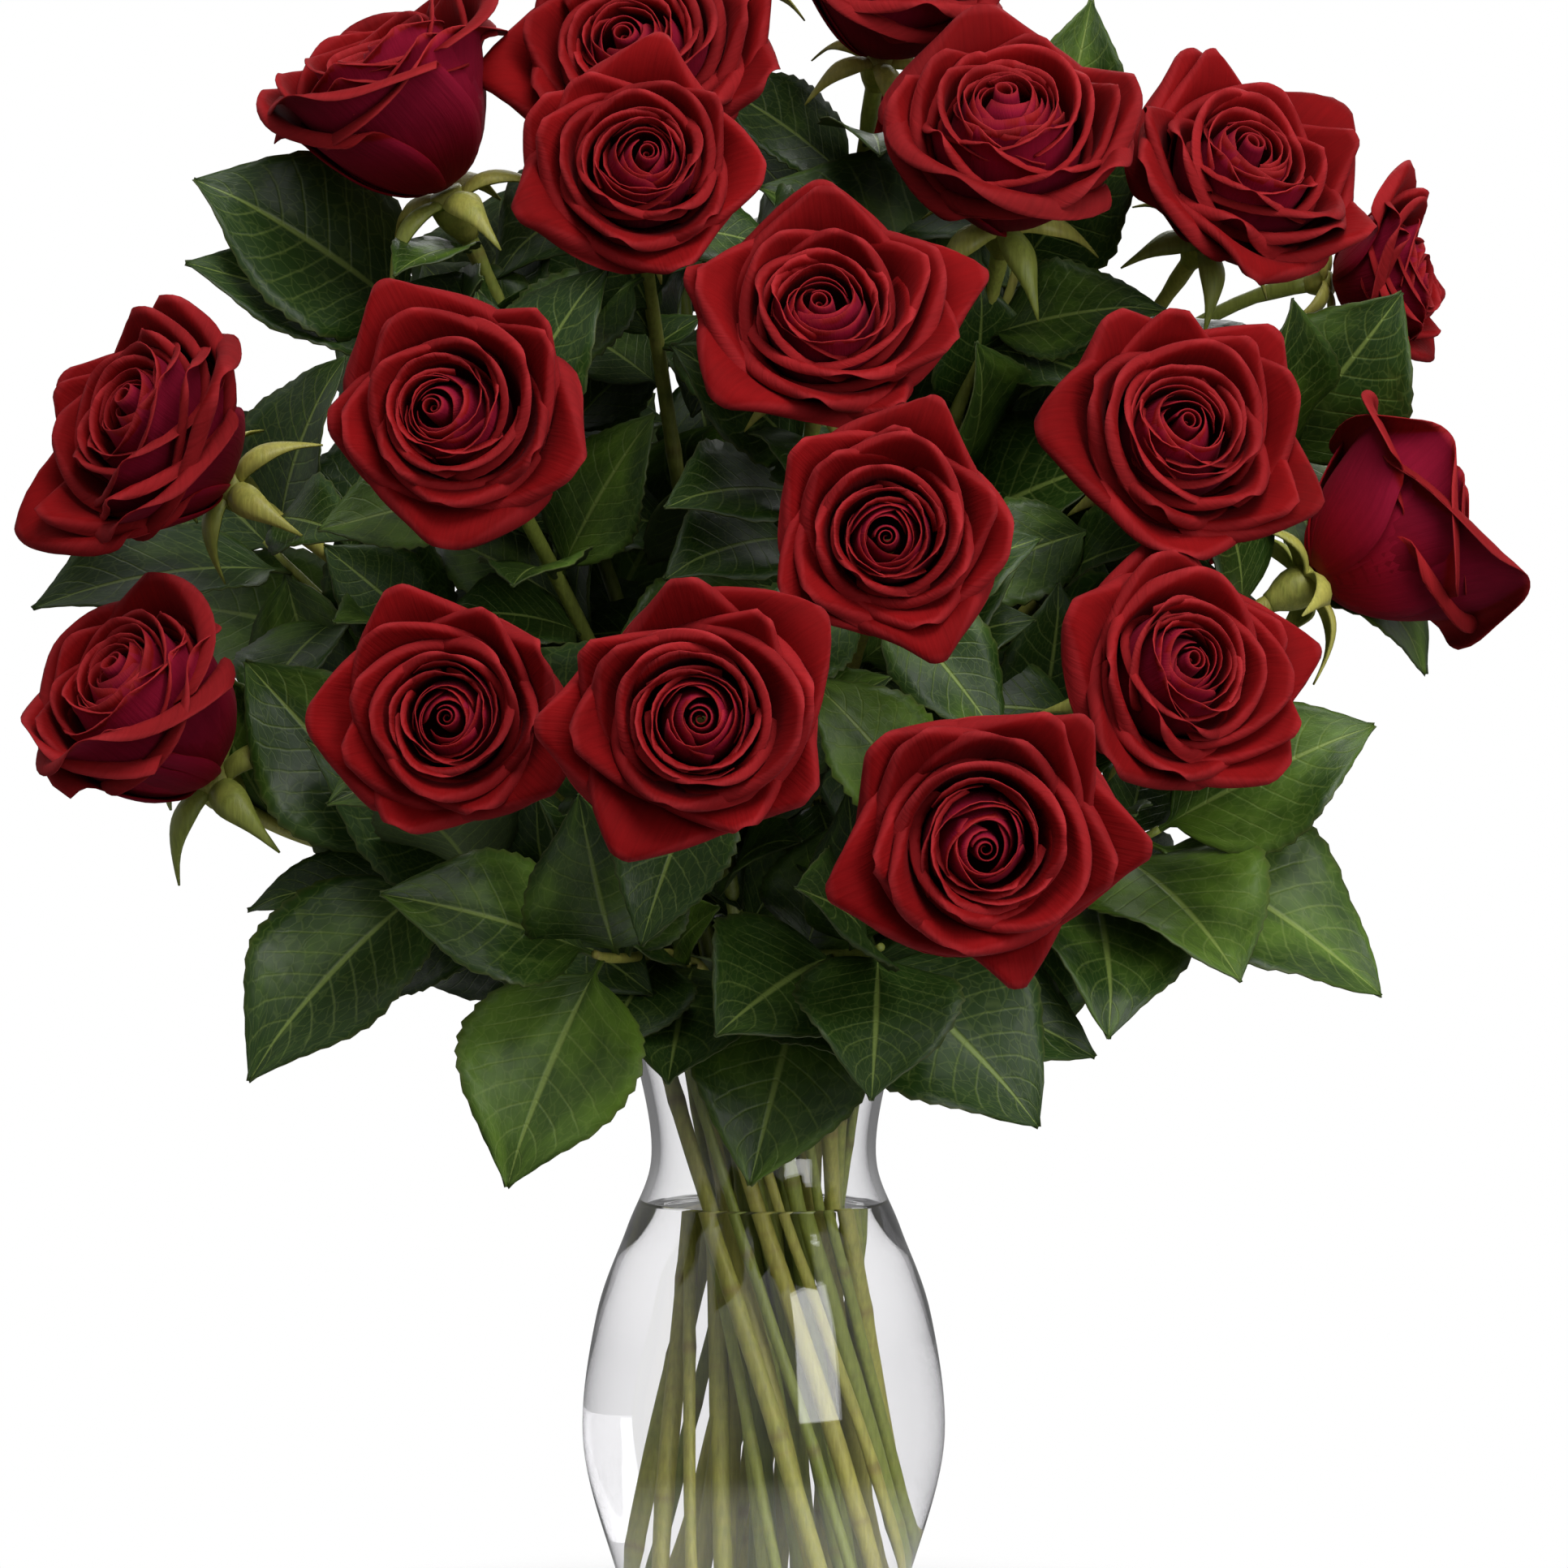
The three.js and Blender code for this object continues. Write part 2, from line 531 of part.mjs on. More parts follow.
// A bloom on its own axis, its root at the origin: one closed mesh, five outer petals in three
// columns each, three middle petals in five columns each, and the heart within.
function makeBloom(rose) {
  const bearings = [-29, 0, 30];
  const points = [new THREE.Vector3(0, 0, 0)];
  const columns = 15;
  for (let column = 0; column < columns; column++) {
    const bearing = rose.turn + 72 * Math.floor(column / 3) + bearings[column % 3];
    bloomColumn(rose, column).forEach(([radius, height], ring) => {
      const turn = degrees(bearing + 2.5 * ring);
      points.push(new THREE.Vector3(radius * Math.cos(turn), radius * Math.sin(turn), height));
    });
  }
  points.push(new THREE.Vector3(0, 0, budHeight));
  const rings = (points.length - 2) / columns;
  const solid = solidFrom(points, turnedTriangles(columns, rings, insideRings));
  return solid.scale([rose.size, rose.size, rose.size]);
}

// Turns a solid from its own axis to a heading, and moves its root to a place.
function stand(solid, place, heading) {
  const turn = new THREE.Quaternion().setFromUnitVectors(up, heading);
  const matrix = new THREE.Matrix4().compose(place, turn, new THREE.Vector3(1, 1, 1));
  return solid.transform(matrix.elements);
}

// ---- the arrangement ------------------------------------------------------------------------------------

const vase = makeVase();
roses.forEach((rose) => {
  rose.heading = facing(rose.yaw, rose.pitch);
  rose.root = new THREE.Vector3(...rose.eye).addScaledVector(rose.heading, -budHeight * rose.size);
});
branches.forEach((branch) => {
  branch.end = new THREE.Vector3(...branch.end);
});

const spots = neckSpots([...roses.map((rose) => rose.root), ...branches.map((branch) => branch.end)]);
roses.forEach((rose, k) => {
  const top = rose.root.clone().addScaledVector(rose.heading, -8 * rose.size);
  rose.stem = makeStem(spots[k], top, rose.heading, roseStemRadius);
  rose.bloom = stand(makeBloom(rose), rose.root, rose.heading);
  rose.green = rose.stem.rod.add(stand(makeCalyx(rose.size), rose.root, rose.heading));
});
branches.forEach((branch, k) => {
  const spot = spots[roses.length + k];
  const heading = branch.end.clone().sub(straightPart(spot, rimHeight)).normalize();
  branch.stem = makeStem(spot, branch.end, heading, greenStemRadius);
  branch.green = branch.stem.rod;
});
const water = makeWater([...roses, ...branches].map((plant) => plant.stem));

// Leaves grow one by one, each clear of all that is there already.
function addLeaf(plant, along, tip, widthShare) {
  const others = [vase];
  for (const other of [...roses, ...branches]) {
    if (other.bloom) others.push(other.bloom);
    if (other !== plant) others.push(other.green, ...(other.grown ?? []));
  }
  plant.grown ??= [];
  const leaf = growLeaf(plant.stem.bend.getPoint(along), tip, widthShare, others, plant.grown);
  if (leaf) plant.grown.push(leaf);
}
branches.forEach((branch) => {
  branch.leaves.forEach(([along, tip, widthShare]) => {
    addLeaf(branch, 0.97 * along, new THREE.Vector3(...tip), widthShare);
  });
});
roses.forEach((rose) => {
  rose.leaves.forEach(([along, slope]) => {
    const depth = rose.root.y < frontDepth ? -0.3 : 0.3;
    const aim = new THREE.Vector3(Math.cos(degrees(slope)), depth, Math.sin(degrees(slope)));
    const root = rose.stem.bend.getPoint(along);
    addLeaf(rose, along, root.add(aim.setLength(roseLeafLength)), roseLeafWidth);
  });
});

const bouquet = new THREE.Group();
bouquet.add(namedMesh("vase", vase, clearGlass));
bouquet.add(namedMesh("water", water, clearWater));
roses.forEach((rose, k) => {
  const number = String(k + 1).padStart(2, "0");
  bouquet.add(namedMesh("bloom_" + number, rose.bloom, petalRed));
  bouquet.add(namedMesh("stem_" + number, joined([rose.green, ...rose.grown]), stemGreen));
});
branches.forEach((branch) => {
  bouquet.add(namedMesh(branch.name, joined([branch.green, ...branch.grown]), leafGreen));
});

export default bouquet;
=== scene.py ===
import math

import bpy
import numpy as np
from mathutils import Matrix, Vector


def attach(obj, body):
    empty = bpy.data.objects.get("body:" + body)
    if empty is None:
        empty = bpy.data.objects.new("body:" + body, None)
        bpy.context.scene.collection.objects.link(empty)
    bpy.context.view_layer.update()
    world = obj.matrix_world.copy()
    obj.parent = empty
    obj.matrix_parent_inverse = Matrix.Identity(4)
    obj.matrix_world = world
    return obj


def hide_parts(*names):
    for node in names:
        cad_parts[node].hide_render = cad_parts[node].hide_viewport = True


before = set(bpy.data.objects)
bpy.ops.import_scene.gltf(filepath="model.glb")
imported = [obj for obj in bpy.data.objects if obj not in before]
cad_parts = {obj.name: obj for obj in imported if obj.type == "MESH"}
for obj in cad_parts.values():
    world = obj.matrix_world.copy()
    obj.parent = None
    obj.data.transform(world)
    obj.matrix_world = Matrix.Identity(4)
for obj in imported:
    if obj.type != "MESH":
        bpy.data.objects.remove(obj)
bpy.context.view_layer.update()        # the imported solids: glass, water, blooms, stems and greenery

# Two dozen red roses with broad-leaved greenery in a clear glass vase of water.
# Tables are in millimetres, like the solids' own; meshes are made in metres, +Z up, viewer at -Y.
mm = 0.001


def named(columns, rows):
    return [dict(zip(columns, row)) for row in rows]


vaseForm = {
    "outline": [(38.5, 2), (41, 13), (51.7, 40), (62.3, 82), (57.7, 125), (47.2, 155), (38.9, 178), (42, 205),
                (51, 232)],
    "solidSteps": 9,  # steps of the solid's outline
    "smoothSteps": 84,  # and of the smooth one
    "solidSides": 20,
    "sides": 128,
    "bellyTop": 90,  # the belly is widest below this
    "arcSteps": 7,
    "foot": [(0, 0.8), (31.5, 0.6), (33.5, 0), (36.5, 0.2), (38.2, 1.2)],
    "wall": 3,
    "wallFrom": 7,  # how far above the floor the inside's wall starts
    "floor": 9,
    "dome": [(12, 0.3), (0, 0.6)],  # how far the floor rises towards its middle
    "cornerRound": 6,
    "cornerInset": 1.2,
    "color": (0.975, 0.973, 0.98),
    "ior": 1.5,
    "ripple": 0.12,  # how uneven the drawn glass is
    "rippleScale": (9, 9, 5),
    "rippleHeight": 0.002,
    "smear": 0.035,  # its roughness where it is smeared
    # painted shade: darker seen on edge, standing for reflected dark surroundings and more glass in the way
    "edge": (0.34, 0.33, 0.38),
    "paintedEdgeShare": 0.75,  # painted shade: how far the glass takes its edge colour where seen on edge
}

waterForm = {
    "level": 164,
    "climb": 1.6,  # how far the water stands up the glass at its edge
    "climbFade": 1.8,
    "brim": 7,  # width of the stretch where it does
    "wet": 0.1,  # how far the water reaches into the wall, so that no air shows between
    "color": (0.975, 0.972, 0.975),
    "ior": 1.333,
    "ripple": 0.1,
    "rippleScale": (30, 30, 30),
    "rippleHeight": 0.0008,
    "smear": 0.035,
    # painted shade: the water darkens towards its edge colour where it is seen on edge
    "edge": (0.50, 0.52, 0.47),
    "paintedEdgeShare": 0.4,
}

sheaf = {
    "neckHeight": 178,
    "neckReach": 28.5,
    "neckSpacing": 8.2,
    "steepest": 56,  # a stem that leans this many degrees or more passes at the neck's edge
    "pushes": 200,  # rounds in which stems that touch are pushed apart
    "spreadHeight": 36,
    "spreadTimes": 1.5,
    "spreadTurn": 80,  # degrees between neck and feet
    "floorGap": 1.5,
    "wallGap": 1.6,
    "rimLead": 4,  # the straight part ends this far above the rim
    "leads": (0.3, 0.32),  # the bend's two handles, as shares of its reach
    "stations": 5,  # points of the solid's bend
    "steps": 40,  # and of each part of the smooth one
    "rose": {"radius": 2.6, "top": 1.2},  # a stem's radius, and its top end's share of it
    "green": {"radius": 1.7, "top": 0.8},
    "taper": (1.05, 0.1),  # how wide the lower end is, and how much less the rest
    "sides": 14,
    "cut": (0.4, 0.9),  # how slanting the lower ends are cut
    "nodeSpacing": 64,  # between the swellings on a stem
    "nodes": 12,  # more than any stem has room for
    "nodeStray": 12,
    "nodeReach": 2.6,
    "nodeSwell": 0.13,
    "bloomGap": 8,  # how far under a bloom's root its stem ends
}

leafForm = {
    "arch": 0.28,
    "fold": 0.2,
    "wave": 0.12,
    "curl": 0.035,  # how far the tip curls down
    "quilt": 0.22,  # how far it swells between its side veins
    "groove": 0.3,  # how deep the middle vein lies
    "ruffle": 0.012,
    "roseLength": 66,
    "roseWidth": 0.34,
    "roseLean": 0.3,  # how far a rose's leaf leans away from the bouquet's middle
    "roseTeeth": 0.09,  # how deep a rose leaf's teeth are cut
    "greenTeeth": 0.055,  # and another's
    "rooted": 0.97,  # how far up a branch its last leaf can root
    "young": 0.45,  # lightness: younger leaves and painted light, unless their branch says otherwise
    "longest": 96,
    "match": 0.08,  # how near a leaf's tip is to a corner of its solid
    "frontDepth": 45,  # leaves in front of this fan out from a point at the back, others from one in front
    "fan": {"share": 0.4, "front": 150, "back": -80, "below": 70},
    "across": (7, 11),  # points from edge to edge, of a leaf deep inside and of another
    "along": (26, 46),  # points from stalk to tip
    "stalk": (0, 0.04, 0.08, 0.11),  # where along a leaf its stalk has points
    "bladeFrom": 0.13,  # and where its blade starts
    "thickness": 0.5,
    "ribThickness": 1.1,  # how much thicker it is at the middle vein
    "ribWidth": 1.1,
    "grooveWidth": 0.9,
    "teeth": 15,
    "sideVeins": 8,
}

# The turns and sizes that the solid leaves were grown with, in the order they were tried.
leafTurns = [
    (0, 0), (0, 12), (12, 0), (-12, 0), (0, -12), (14, 14), (-14, 14), (24, 0), (-24, 0), (0, 26),
    (0, -26), (26, 20), (-26, 20), (26, -20), (-26, -20), (40, 0), (-40, 0), (0, 42), (44, 30), (-44, 30),
    (62, 0), (-62, 0), (60, 40), (-60, 40), (60, -30), (-60, -30), (0, 62),
]
leafSizes = [1, 0.84, 0.68]

petalForm = {
    "budHeight": 46,
    "across": (27, 15),  # points from edge to edge of a petal, in the open layers and in the heart
    "columnPower": 1.35,  # above 1, columns are closer together towards the tip
    "along": (18, 10),  # points from base to lip
    "rowPower": 0.78,  # below 1, rows are closer together towards the lip
    "foot": (3.0, 0.6),  # radius and height at which petals start
    "runSteps": 14,
    "shortest": 42,  # a petal's length in the heart
    "longer": 12,  # and how much longer it is in the outermost layer
    "thickness": 0.5,
    "lipThickness": 0.28,
    "claw": 0.14,  # share of the width that a petal has at its base
    "fullFrom": 0.62,  # where up its sides it has all of it
    # how much these vary from petal to petal
    "varies": {"fall": 0.35, "half": 0.14, "slope": 7, "bulge": 1.2, "roll": 0.25},
    "tipAside": 0.24,  # how far off its middle an open petal's tip may be
    "uneven": 0.05,  # how much further its edge may reach on one side
    "scallop": 0.012,
    "jitter": (0.018, 0.026),  # how unevenly it keeps to its layer, when open and in the heart
    "billow": 1.3,
    "furthestWrap": 2.35,  # how far round the axis a petal may reach, in radians
    "flap": 1.6,  # width of the margin that lies folded back
    "lift": 1.6,  # how far the side margin that lies outside stands off the next petal
    "foldFrom": (0.3, 0.85),  # where up its sides the margin starts to fold, and where it is all folded
    "furlRange": 0.3,  # how much less open a bloom is whose petals still wrap round it
    "furlEven": 0.6,  # how much less those vary
    "furlUp": 0.16,  # how much further up they start to fold
    "furlSlope": 7,  # how much rounder they are, in degrees
    "furlBend": 0.2,  # how much less their margins bend
    "furlFlap": 0.8,  # and how much narrower those within lie folded back
    "furlRoll": 0.9,  # how much wider the outermost petals' margins roll
    "furlTight": 0.65,  # and how much tighter those within, which would stand through the outermost
    "turnRange": 26,  # how much the outward turn of the lips varies
    "whorlTurn": (40, 12),  # degrees from each whorl to the next, and how much that varies
    "petalTurn": 9,  # how far a petal may stray from its place in a whorl
    "reach": (0.98, 0.045),  # a petal's share of its length, and how much that varies
    "outerReach": 0.07,  # how much it varies in the outermost whorl
    "heartTurn": 137.5,  # degrees from each petal of the heart to the next
    "heartLayer": 0.46,  # the heart's outermost layer
    "heartLean": 6.5,  # how far the heart may lean off its axis
    "heartSink": 0.04,  # how much lower than the petals round it the heart stands
    "leanLayer": 0.72,  # petals within this layer lean with it
}

# A petal's lean in degrees: in the closed heart, how much more in the outermost layer, and the power by
# which it grows between them.
petalLeans = {"base": (30, 50, 0.5), "belly": (0, 10, 1), "flare": (-45, 95, 1.7), "lip": (15, 50, 1)}

# A bloom's whorls of petals from the outside in: how many, the layer of the first and of the last (1 is
# the outermost run, 0 the closed heart), how far one edge is tucked in, half width, how far the edge falls
# away to the sides, the slope in degrees of the two folds that meet in the tip and how far they bulge,
# their radius and furthest bend, and the outward turn of the lip.
petalWhorls = named(("count", "layers", "tuck", "half", "fall", "slope", "bulge", "roll", "bend", "turn"), [
    (5, (0.96, 0.96), 0.05, 36, 0.1, 56, -2.4, 1.9, 140, -22),
    (5, (0.85, 0.75), 0.065, 34, 0.11, 57, -2.2, 1.8, 140, -8),
    (3, (0.68, 0.6), 0.09, 35, 0.11, 61, -1.2, 1.5, 130, 18),
    (3, (0.53, 0.46), 0.08, 31, 0.11, 65, -0.6, 1.2, 120, 24),
    (7, (0.42, 0.25), 0.06, 23, 0.12, 70, 0, 0.8, 85, 20),
    (5, (0.21, 0.13), 0.05, 16, 0.12, 78, 0, 0.7, 45, 12),
    (3, (0.105, 0.05), 0.03, 12, 0.12, 84, 0, 0.7, 30, 6),
])

heartCoil = {"turns": 2.3, "from": 0.8, "to": 4.4, "bottom": 24, "top": 38.5, "across": 48, "along": 8,
             "thickness": 0.35}

# Where each bloom's eye is, which way it faces (yaw from the viewer towards +X, pitch above level), its
# size, how far it has opened, its turn about its own axis, and its stem's leaves, each as its place
# along the stem and its slope in the view. The eye, the way it faces and the size are the solids' own, as
# the stem and its leaves grow from them.
roses = named(("eye", "yaw", "pitch", "size", "open", "turn", "leaves"), [
    ((-135, -49, 563), -48, 56, 1.4, 0.71, 20, [(0.84, 185), (0.7, 30)]),
    ((-43, -58, 566), -6, 26, 1.2, 1.0, 40, [(0.8, 200)]),
    ((-40, -135, 510), 0, 16, 1.0, 0.92, 0, [(0.86, 215), (0.75, -20)]),
    ((47, -30, 600), 12, 50, 1.12, 0.85, 70, [(0.86, 145)]),
    ((82, -90, 536), 2, 40, 1.28, 0.78, 25, [(0.84, 10), (0.7, 190)]),
    ((170, -70, 524), 26, 34, 1.17, 0.98, 64, [(0.84, 200), (0.9, -50)]),
    ((234, -8, 485), 70, 4, 0.86, 0.92, 15, [(0.8, 240)]),
    ((22, -152, 466), 4, 28, 1.1, 1.0, 20, [(0.8, -10), (0.6, 200)]),
    ((-218, -90, 433), -46, 25, 1.26, 0.88, 35, [(0.8, 60)]),
    ((-97, -165, 428), -8, 12, 1.04, 0.95, 37, [(0.84, 190), (0.66, 60)]),
    ((141, -136, 427), 18, 20, 1.13, 0.98, 66, [(0.86, 200), (0.7, 0)]),
    ((39, -205, 387), 0, 8, 0.95, 0.95, 70, [(0.8, 210), (0.6, 20)]),
    ((239, -34, 406), 98, 28, 1.34, 0.8, 24, [(0.9, 250)]),
    ((-217, -100, 350), -38, 36, 1.42, 0.6, 45, [(0.86, 100)]),
    ((-98, -200, 330), -10, 5, 0.98, 0.94, 23, [(0.8, 200)]),
    ((-21, -240, 329), -4, 4, 1.04, 1.0, 27, [(0.8, 250), (0.66, 30)]),
    ((142, -152, 347), 28, 12, 1.08, 0.96, 40, [(0.84, 30), (0.7, 200)]),
    ((69, -228, 290), 6, -4, 1.08, 1.0, 66, [(0.8, 130), (0.66, 0)]),
    ((-12, 50, 640), 180, 74, 1.1, 0.9, 20, [(0.84, 150)]),
    ((-120, 140, 462), -145, 30, 1.1, 0.9, 50, [(0.84, 170)]),
    ((-70, 190, 352), -160, 8, 1.02, 0.95, 5, [(0.8, 200)]),
    ((82, 110, 552), 155, 42, 1.06, 0.9, 35, [(0.84, 20)]),
    ((154, 135, 430), 132, 20, 1.1, 0.88, 60, [(0.84, 100)]),
    ((48, 205, 350), 172, 8, 1.04, 0.96, 15, [(0.8, 0)]),
])
drawnSizes = {14: 1.38}  # the size of a bloom that is drawn smaller than its solid, by its number

# The greenery: how light each branch's leaves are, as younger leaves and as painted light, where it ends,
# and each leaf's place along it, tip and half width's share.
branches = named(("node", "young", "end", "leaves"), [
    ("greenery_front_left", 0.7, (-53, -120, 254), [
        (1, (-118, -152, 274), 0.32), (0.97, (-80, -142, 183), 0.42), (0.86, (-56, -165, 303), 0.34),
        (0.8, (-20, -128, 298), 0.3), (0.6, (-78, -92, 214), 0.3), (0.45, (-14, -92, 268), 0.36)]),
    ("greenery_low_left", 0.45, (-112, -66, 282), [
        (0.95, (-167, -92, 213), 0.36), (0.9, (-172, -56, 268), 0.2), (1, (-194, -60, 320), 0.32),
        (0.75, (-146, -90, 322), 0.3), (0.6, (-132, 10, 262), 0.3), (0.8, (-112, -140, 300), 0.28),
        (0.5, (-72, -104, 306), 0.34)]),
    ("greenery_left", 0.45, (-172, 0, 392), [
        (0.96, (-250, -48, 366), 0.32), (0.85, (-170, -50, 330), 0.34), (1, (-142, -36, 452), 0.36),
        (0.75, (-212, 50, 372), 0.32), (0.6, (-92, -78, 372), 0.34), (0.98, (-222, 56, 440), 0.32),
        (0.7, (-126, -50, 400), 0.36)]),
    ("greenery_high_left", 0.35, (-122, 14, 474), [
        (0.95, (-202, -26, 486), 0.28), (1, (-180, -24, 530), 0.4), (0.92, (-94, -8, 526), 0.38),
        (0.72, (-74, -62, 488), 0.34), (0.55, (-40, -72, 424), 0.36), (0.8, (-172, 76, 520), 0.32),
        (0.65, (-128, -60, 420), 0.32), (0.5, (-26, -24, 456), 0.36), (0.85, (-62, -26, 512), 0.34)]),
    ("greenery_high_right", 0.55, (98, 10, 520), [
        (1, (112, -14, 576), 0.32), (0.9, (142, -44, 512), 0.36), (0.85, (30, -20, 556), 0.4),
        (0.95, (58, 8, 572), 0.34), (0.6, (74, -90, 462), 0.34), (0.7, (132, 62, 500), 0.32),
        (0.45, (10, -96, 418), 0.36), (0.55, (102, -46, 484), 0.36)]),
    ("greenery_right", 0.55, (176, 2, 424), [
        (1, (216, -30, 474), 0.42), (0.97, (216, -46, 352), 0.4), (0.95, (206, 62, 430), 0.32),
        (0.75, (112, -70, 470), 0.34), (0.7, (92, -112, 392), 0.34), (0.6, (170, 62, 350), 0.32),
        (0.5, (62, -92, 352), 0.34), (0.42, (112, -70, 322), 0.34), (0.9, (160, -60, 486), 0.36)]),
    ("greenery_low_right", 0.6, (132, -52, 293), [
        (1, (202, -62, 328), 0.36), (0.97, (204, -66, 238), 0.36), (0.8, (112, -112, 230), 0.42),
        (0.88, (152, -98, 232), 0.44), (0.6, (150, 22, 264), 0.32), (0.7, (116, -110, 316), 0.3),
        (0.45, (72, -100, 286), 0.34)]),
    ("greenery_front_right", 0.45, (38, -112, 256), [
        (1, (34, -162, 211), 0.42), (0.88, (88, -122, 200), 0.44), (0.72, (108, -92, 220), 0.32),
        (0.66, (-14, -142, 230), 0.44), (0.45, (-4, -96, 178), 0.42), (0.92, (10, -176, 276), 0.3),
        (0.4, (34, -90, 304), 0.34)]),
    ("greenery_back_left", 0.45, (-80, 118, 380), [
        (1, (-140, 176, 396), 0.34), (0.9, (-62, 176, 440), 0.34), (0.8, (-158, 128, 330), 0.34),
        (0.6, (-118, 136, 250), 0.36), (0.5, (-40, 146, 262), 0.36), (0.7, (-20, 168, 300), 0.3),
        (0.95, (-30, 150, 490), 0.34), (0.35, (-56, 92, 196), 0.36)]),
    ("greenery_back_right", 0.45, (84, 112, 390), [
        (1, (104, 182, 420), 0.34), (0.9, (36, 168, 470), 0.34), (0.8, (176, 108, 330), 0.34),
        (0.6, (120, 134, 244), 0.36), (0.45, (44, 132, 214), 0.36), (0.7, (108, 176, 296), 0.3),
        (0.95, (128, 110, 500), 0.34), (0.3, (84, 60, 198), 0.36)]),
])

# Leaves that the solids leave out. Some hang over the vase's rim: the place along the branch, tip and half
# width's share of each.
rimLeaves = {
    "greenery_front_left": [(0.5, (-52, -106, 222), 0.46), (0.24, (-30, -112, 212), 0.44)],
    "greenery_front_right": [(0.3, (48, -108, 214), 0.42)],
}

# The others fill the bouquet's inside.
fillers = {
    "seed": 5,
    "rounds": 60,  # tries at each plant
    "stations": (0.12, 0.97),
    "scatter": 0.6,  # how much their ways stray from straight outwards
    "lengths": (48, 78),
    "widths": (0.28, 0.38),
    # lower than elsewhere: painted shade on the leaves deep inside the bouquet
    "young": 0.3,
    "room": 6,  # least distance from another leaf
    "center": (4, 0, 372),
    "reach": (182, 158, 190),
    "rimLayer": 6,  # up to this far above the rim
    "rimRoom": 62,  # a leaf keeps this far from the axis
    "bloomHeights": (-6, 50),  # the cone round a bloom that is kept free, from its root
    "bloomRoom": (12, 0.95),  # and its radius there and how much it widens upwards
}

seeds = {"bloom": 31, "rose": 500, "branch": 900}
markNames = ("petal", "shade")  # what the meshes tell the materials about each point
rimHeight = vaseForm["outline"][-1][1]


def degSin(angle):
    return np.sin(np.radians(angle))


def degCos(angle):
    return np.cos(np.radians(angle))


def smoothStep(low, high, value):
    t = np.clip((value - low) / (high - low), 0, 1)
    return t * t * (3 - 2 * t)


def hump(away, width):
    return np.exp(-(away / width) ** 2)


def circle(sides):
    return np.linspace(0, 2 * np.pi, sides, endpoint=False)


def unit(v):
    return v / np.linalg.norm(v, axis=-1, keepdims=True)


def triple(a, b, c):
    return np.stack(np.broadcast_arrays(a, b, c), -1)


def polar(radius, angle, height):
    return triple(radius * np.cos(angle), radius * np.sin(angle), height)


def facing(yaw, pitch):
    return np.array([degSin(yaw) * degCos(pitch), -degCos(yaw) * degCos(pitch), degSin(pitch)])


def splinePoint(points, t):
    # a uniform Catmull-Rom curve through the points
    last = len(points) - 1
    k = min(int(t * last), last - 1)
    w = t * last - k
    a, b, c, d = (points[min(max(k + n, 0), last)] for n in (-1, 0, 1, 2))
    v, u = (c - a) * 0.5, (d - b) * 0.5
    return (2 * b - 2 * c + v + u) * w ** 3 + (-3 * b + 3 * c - 2 * v - u) * w ** 2 + v * w + b


def vaseOutline(steps):
    points = [np.array(p, float) for p in vaseForm["outline"]]
    return np.array([splinePoint(points, k / steps) for k in range(steps + 1)])


solidOutline = vaseOutline(vaseForm["solidSteps"])


def glassRadius(z):
    return float(np.interp(z, solidOutline[:, 1], solidOutline[:, 0]))


def spreadAt(z):
    # the sheaf's turn and spread at a height, as one complex factor
    share = (sheaf["neckHeight"] - z) / (sheaf["neckHeight"] - sheaf["spreadHeight"])
    turned = complex(degCos(sheaf["spreadTurn"]), degSin(sheaf["spreadTurn"]))
    return 1 - share + share * sheaf["spreadTimes"] * turned


def straightPart(spot, z):
    place = spot * spreadAt(z)
    return np.array([place.real, place.imag, z])


def footHeight(spot, radius):
    # the lowest place where a stem's end stands clear of the glass
    shrink = math.cos(math.pi / vaseForm["solidSides"])
    z = vaseForm["floor"] + sheaf["floorGap"]
    while abs(spot * spreadAt(z)) > (glassRadius(z) - vaseForm["wall"]) * shrink - radius - sheaf["wallGap"]:
        z += 1
    return z


def neckSpots(goals):
    # where each stem passes the neck: towards its goal, then pushed apart until none touch
    lead = np.angle(spreadAt(rimHeight))
    reach = sheaf["neckReach"]
    spots = []
    for x, y, z in goals:
        slope = math.atan2(math.hypot(x, y), z - sheaf["neckHeight"])
        bearing = math.atan2(y, x) - lead
        out = reach * min(1, slope / math.radians(sheaf["steepest"]))
        spots.append(out * complex(math.cos(bearing), math.sin(bearing)))
    for _ in range(sheaf["pushes"]):
        for i in range(len(spots)):
            for j in range(i + 1, len(spots)):
                apart = spots[j] - spots[i]
                short = (sheaf["neckSpacing"] - abs(apart)) / 2
                if short > 0:
                    push = apart / abs(apart) * short
                    spots[i] -= push
                    spots[j] += push
        spots = [spot * min(1, reach / abs(spot)) for spot in spots]
    return spots


def bezier(handles, t):
    a, b, c, d = handles
    t = np.asarray(t, float)[..., None]
    return (1 - t) ** 3 * a + 3 * (1 - t) ** 2 * t * b + 3 * (1 - t) * t ** 2 * c + t ** 3 * d


def stemPath(spot, end, heading, kind):
    foot = straightPart(spot, footHeight(spot, kind["radius"]))
    rim = straightPart(spot, rimHeight + sheaf["rimLead"])
    reach = np.linalg.norm(end - rim)
    out, back = sheaf["leads"]
    handles = [rim, rim + out * reach * unit(rim - foot), end - back * reach * heading, end]
    stations = bezier(handles, np.linspace(0, 1, sheaf["stations"]))
    return {"foot": foot, "handles": handles, "stations": stations}


def atStation(path, t):
    # a point on the solid's faceted stem
    last = sheaf["stations"] - 1
    at = min(max(t, 0), 1) * last
    k = min(int(at), last - 1)
    return path["stations"][k] + (path["stations"][k + 1] - path["stations"][k]) * (at - k)


def addObject(name, data):
    made = bpy.data.objects.new(name, data)
    bpy.context.scene.collection.objects.link(made)
    return made


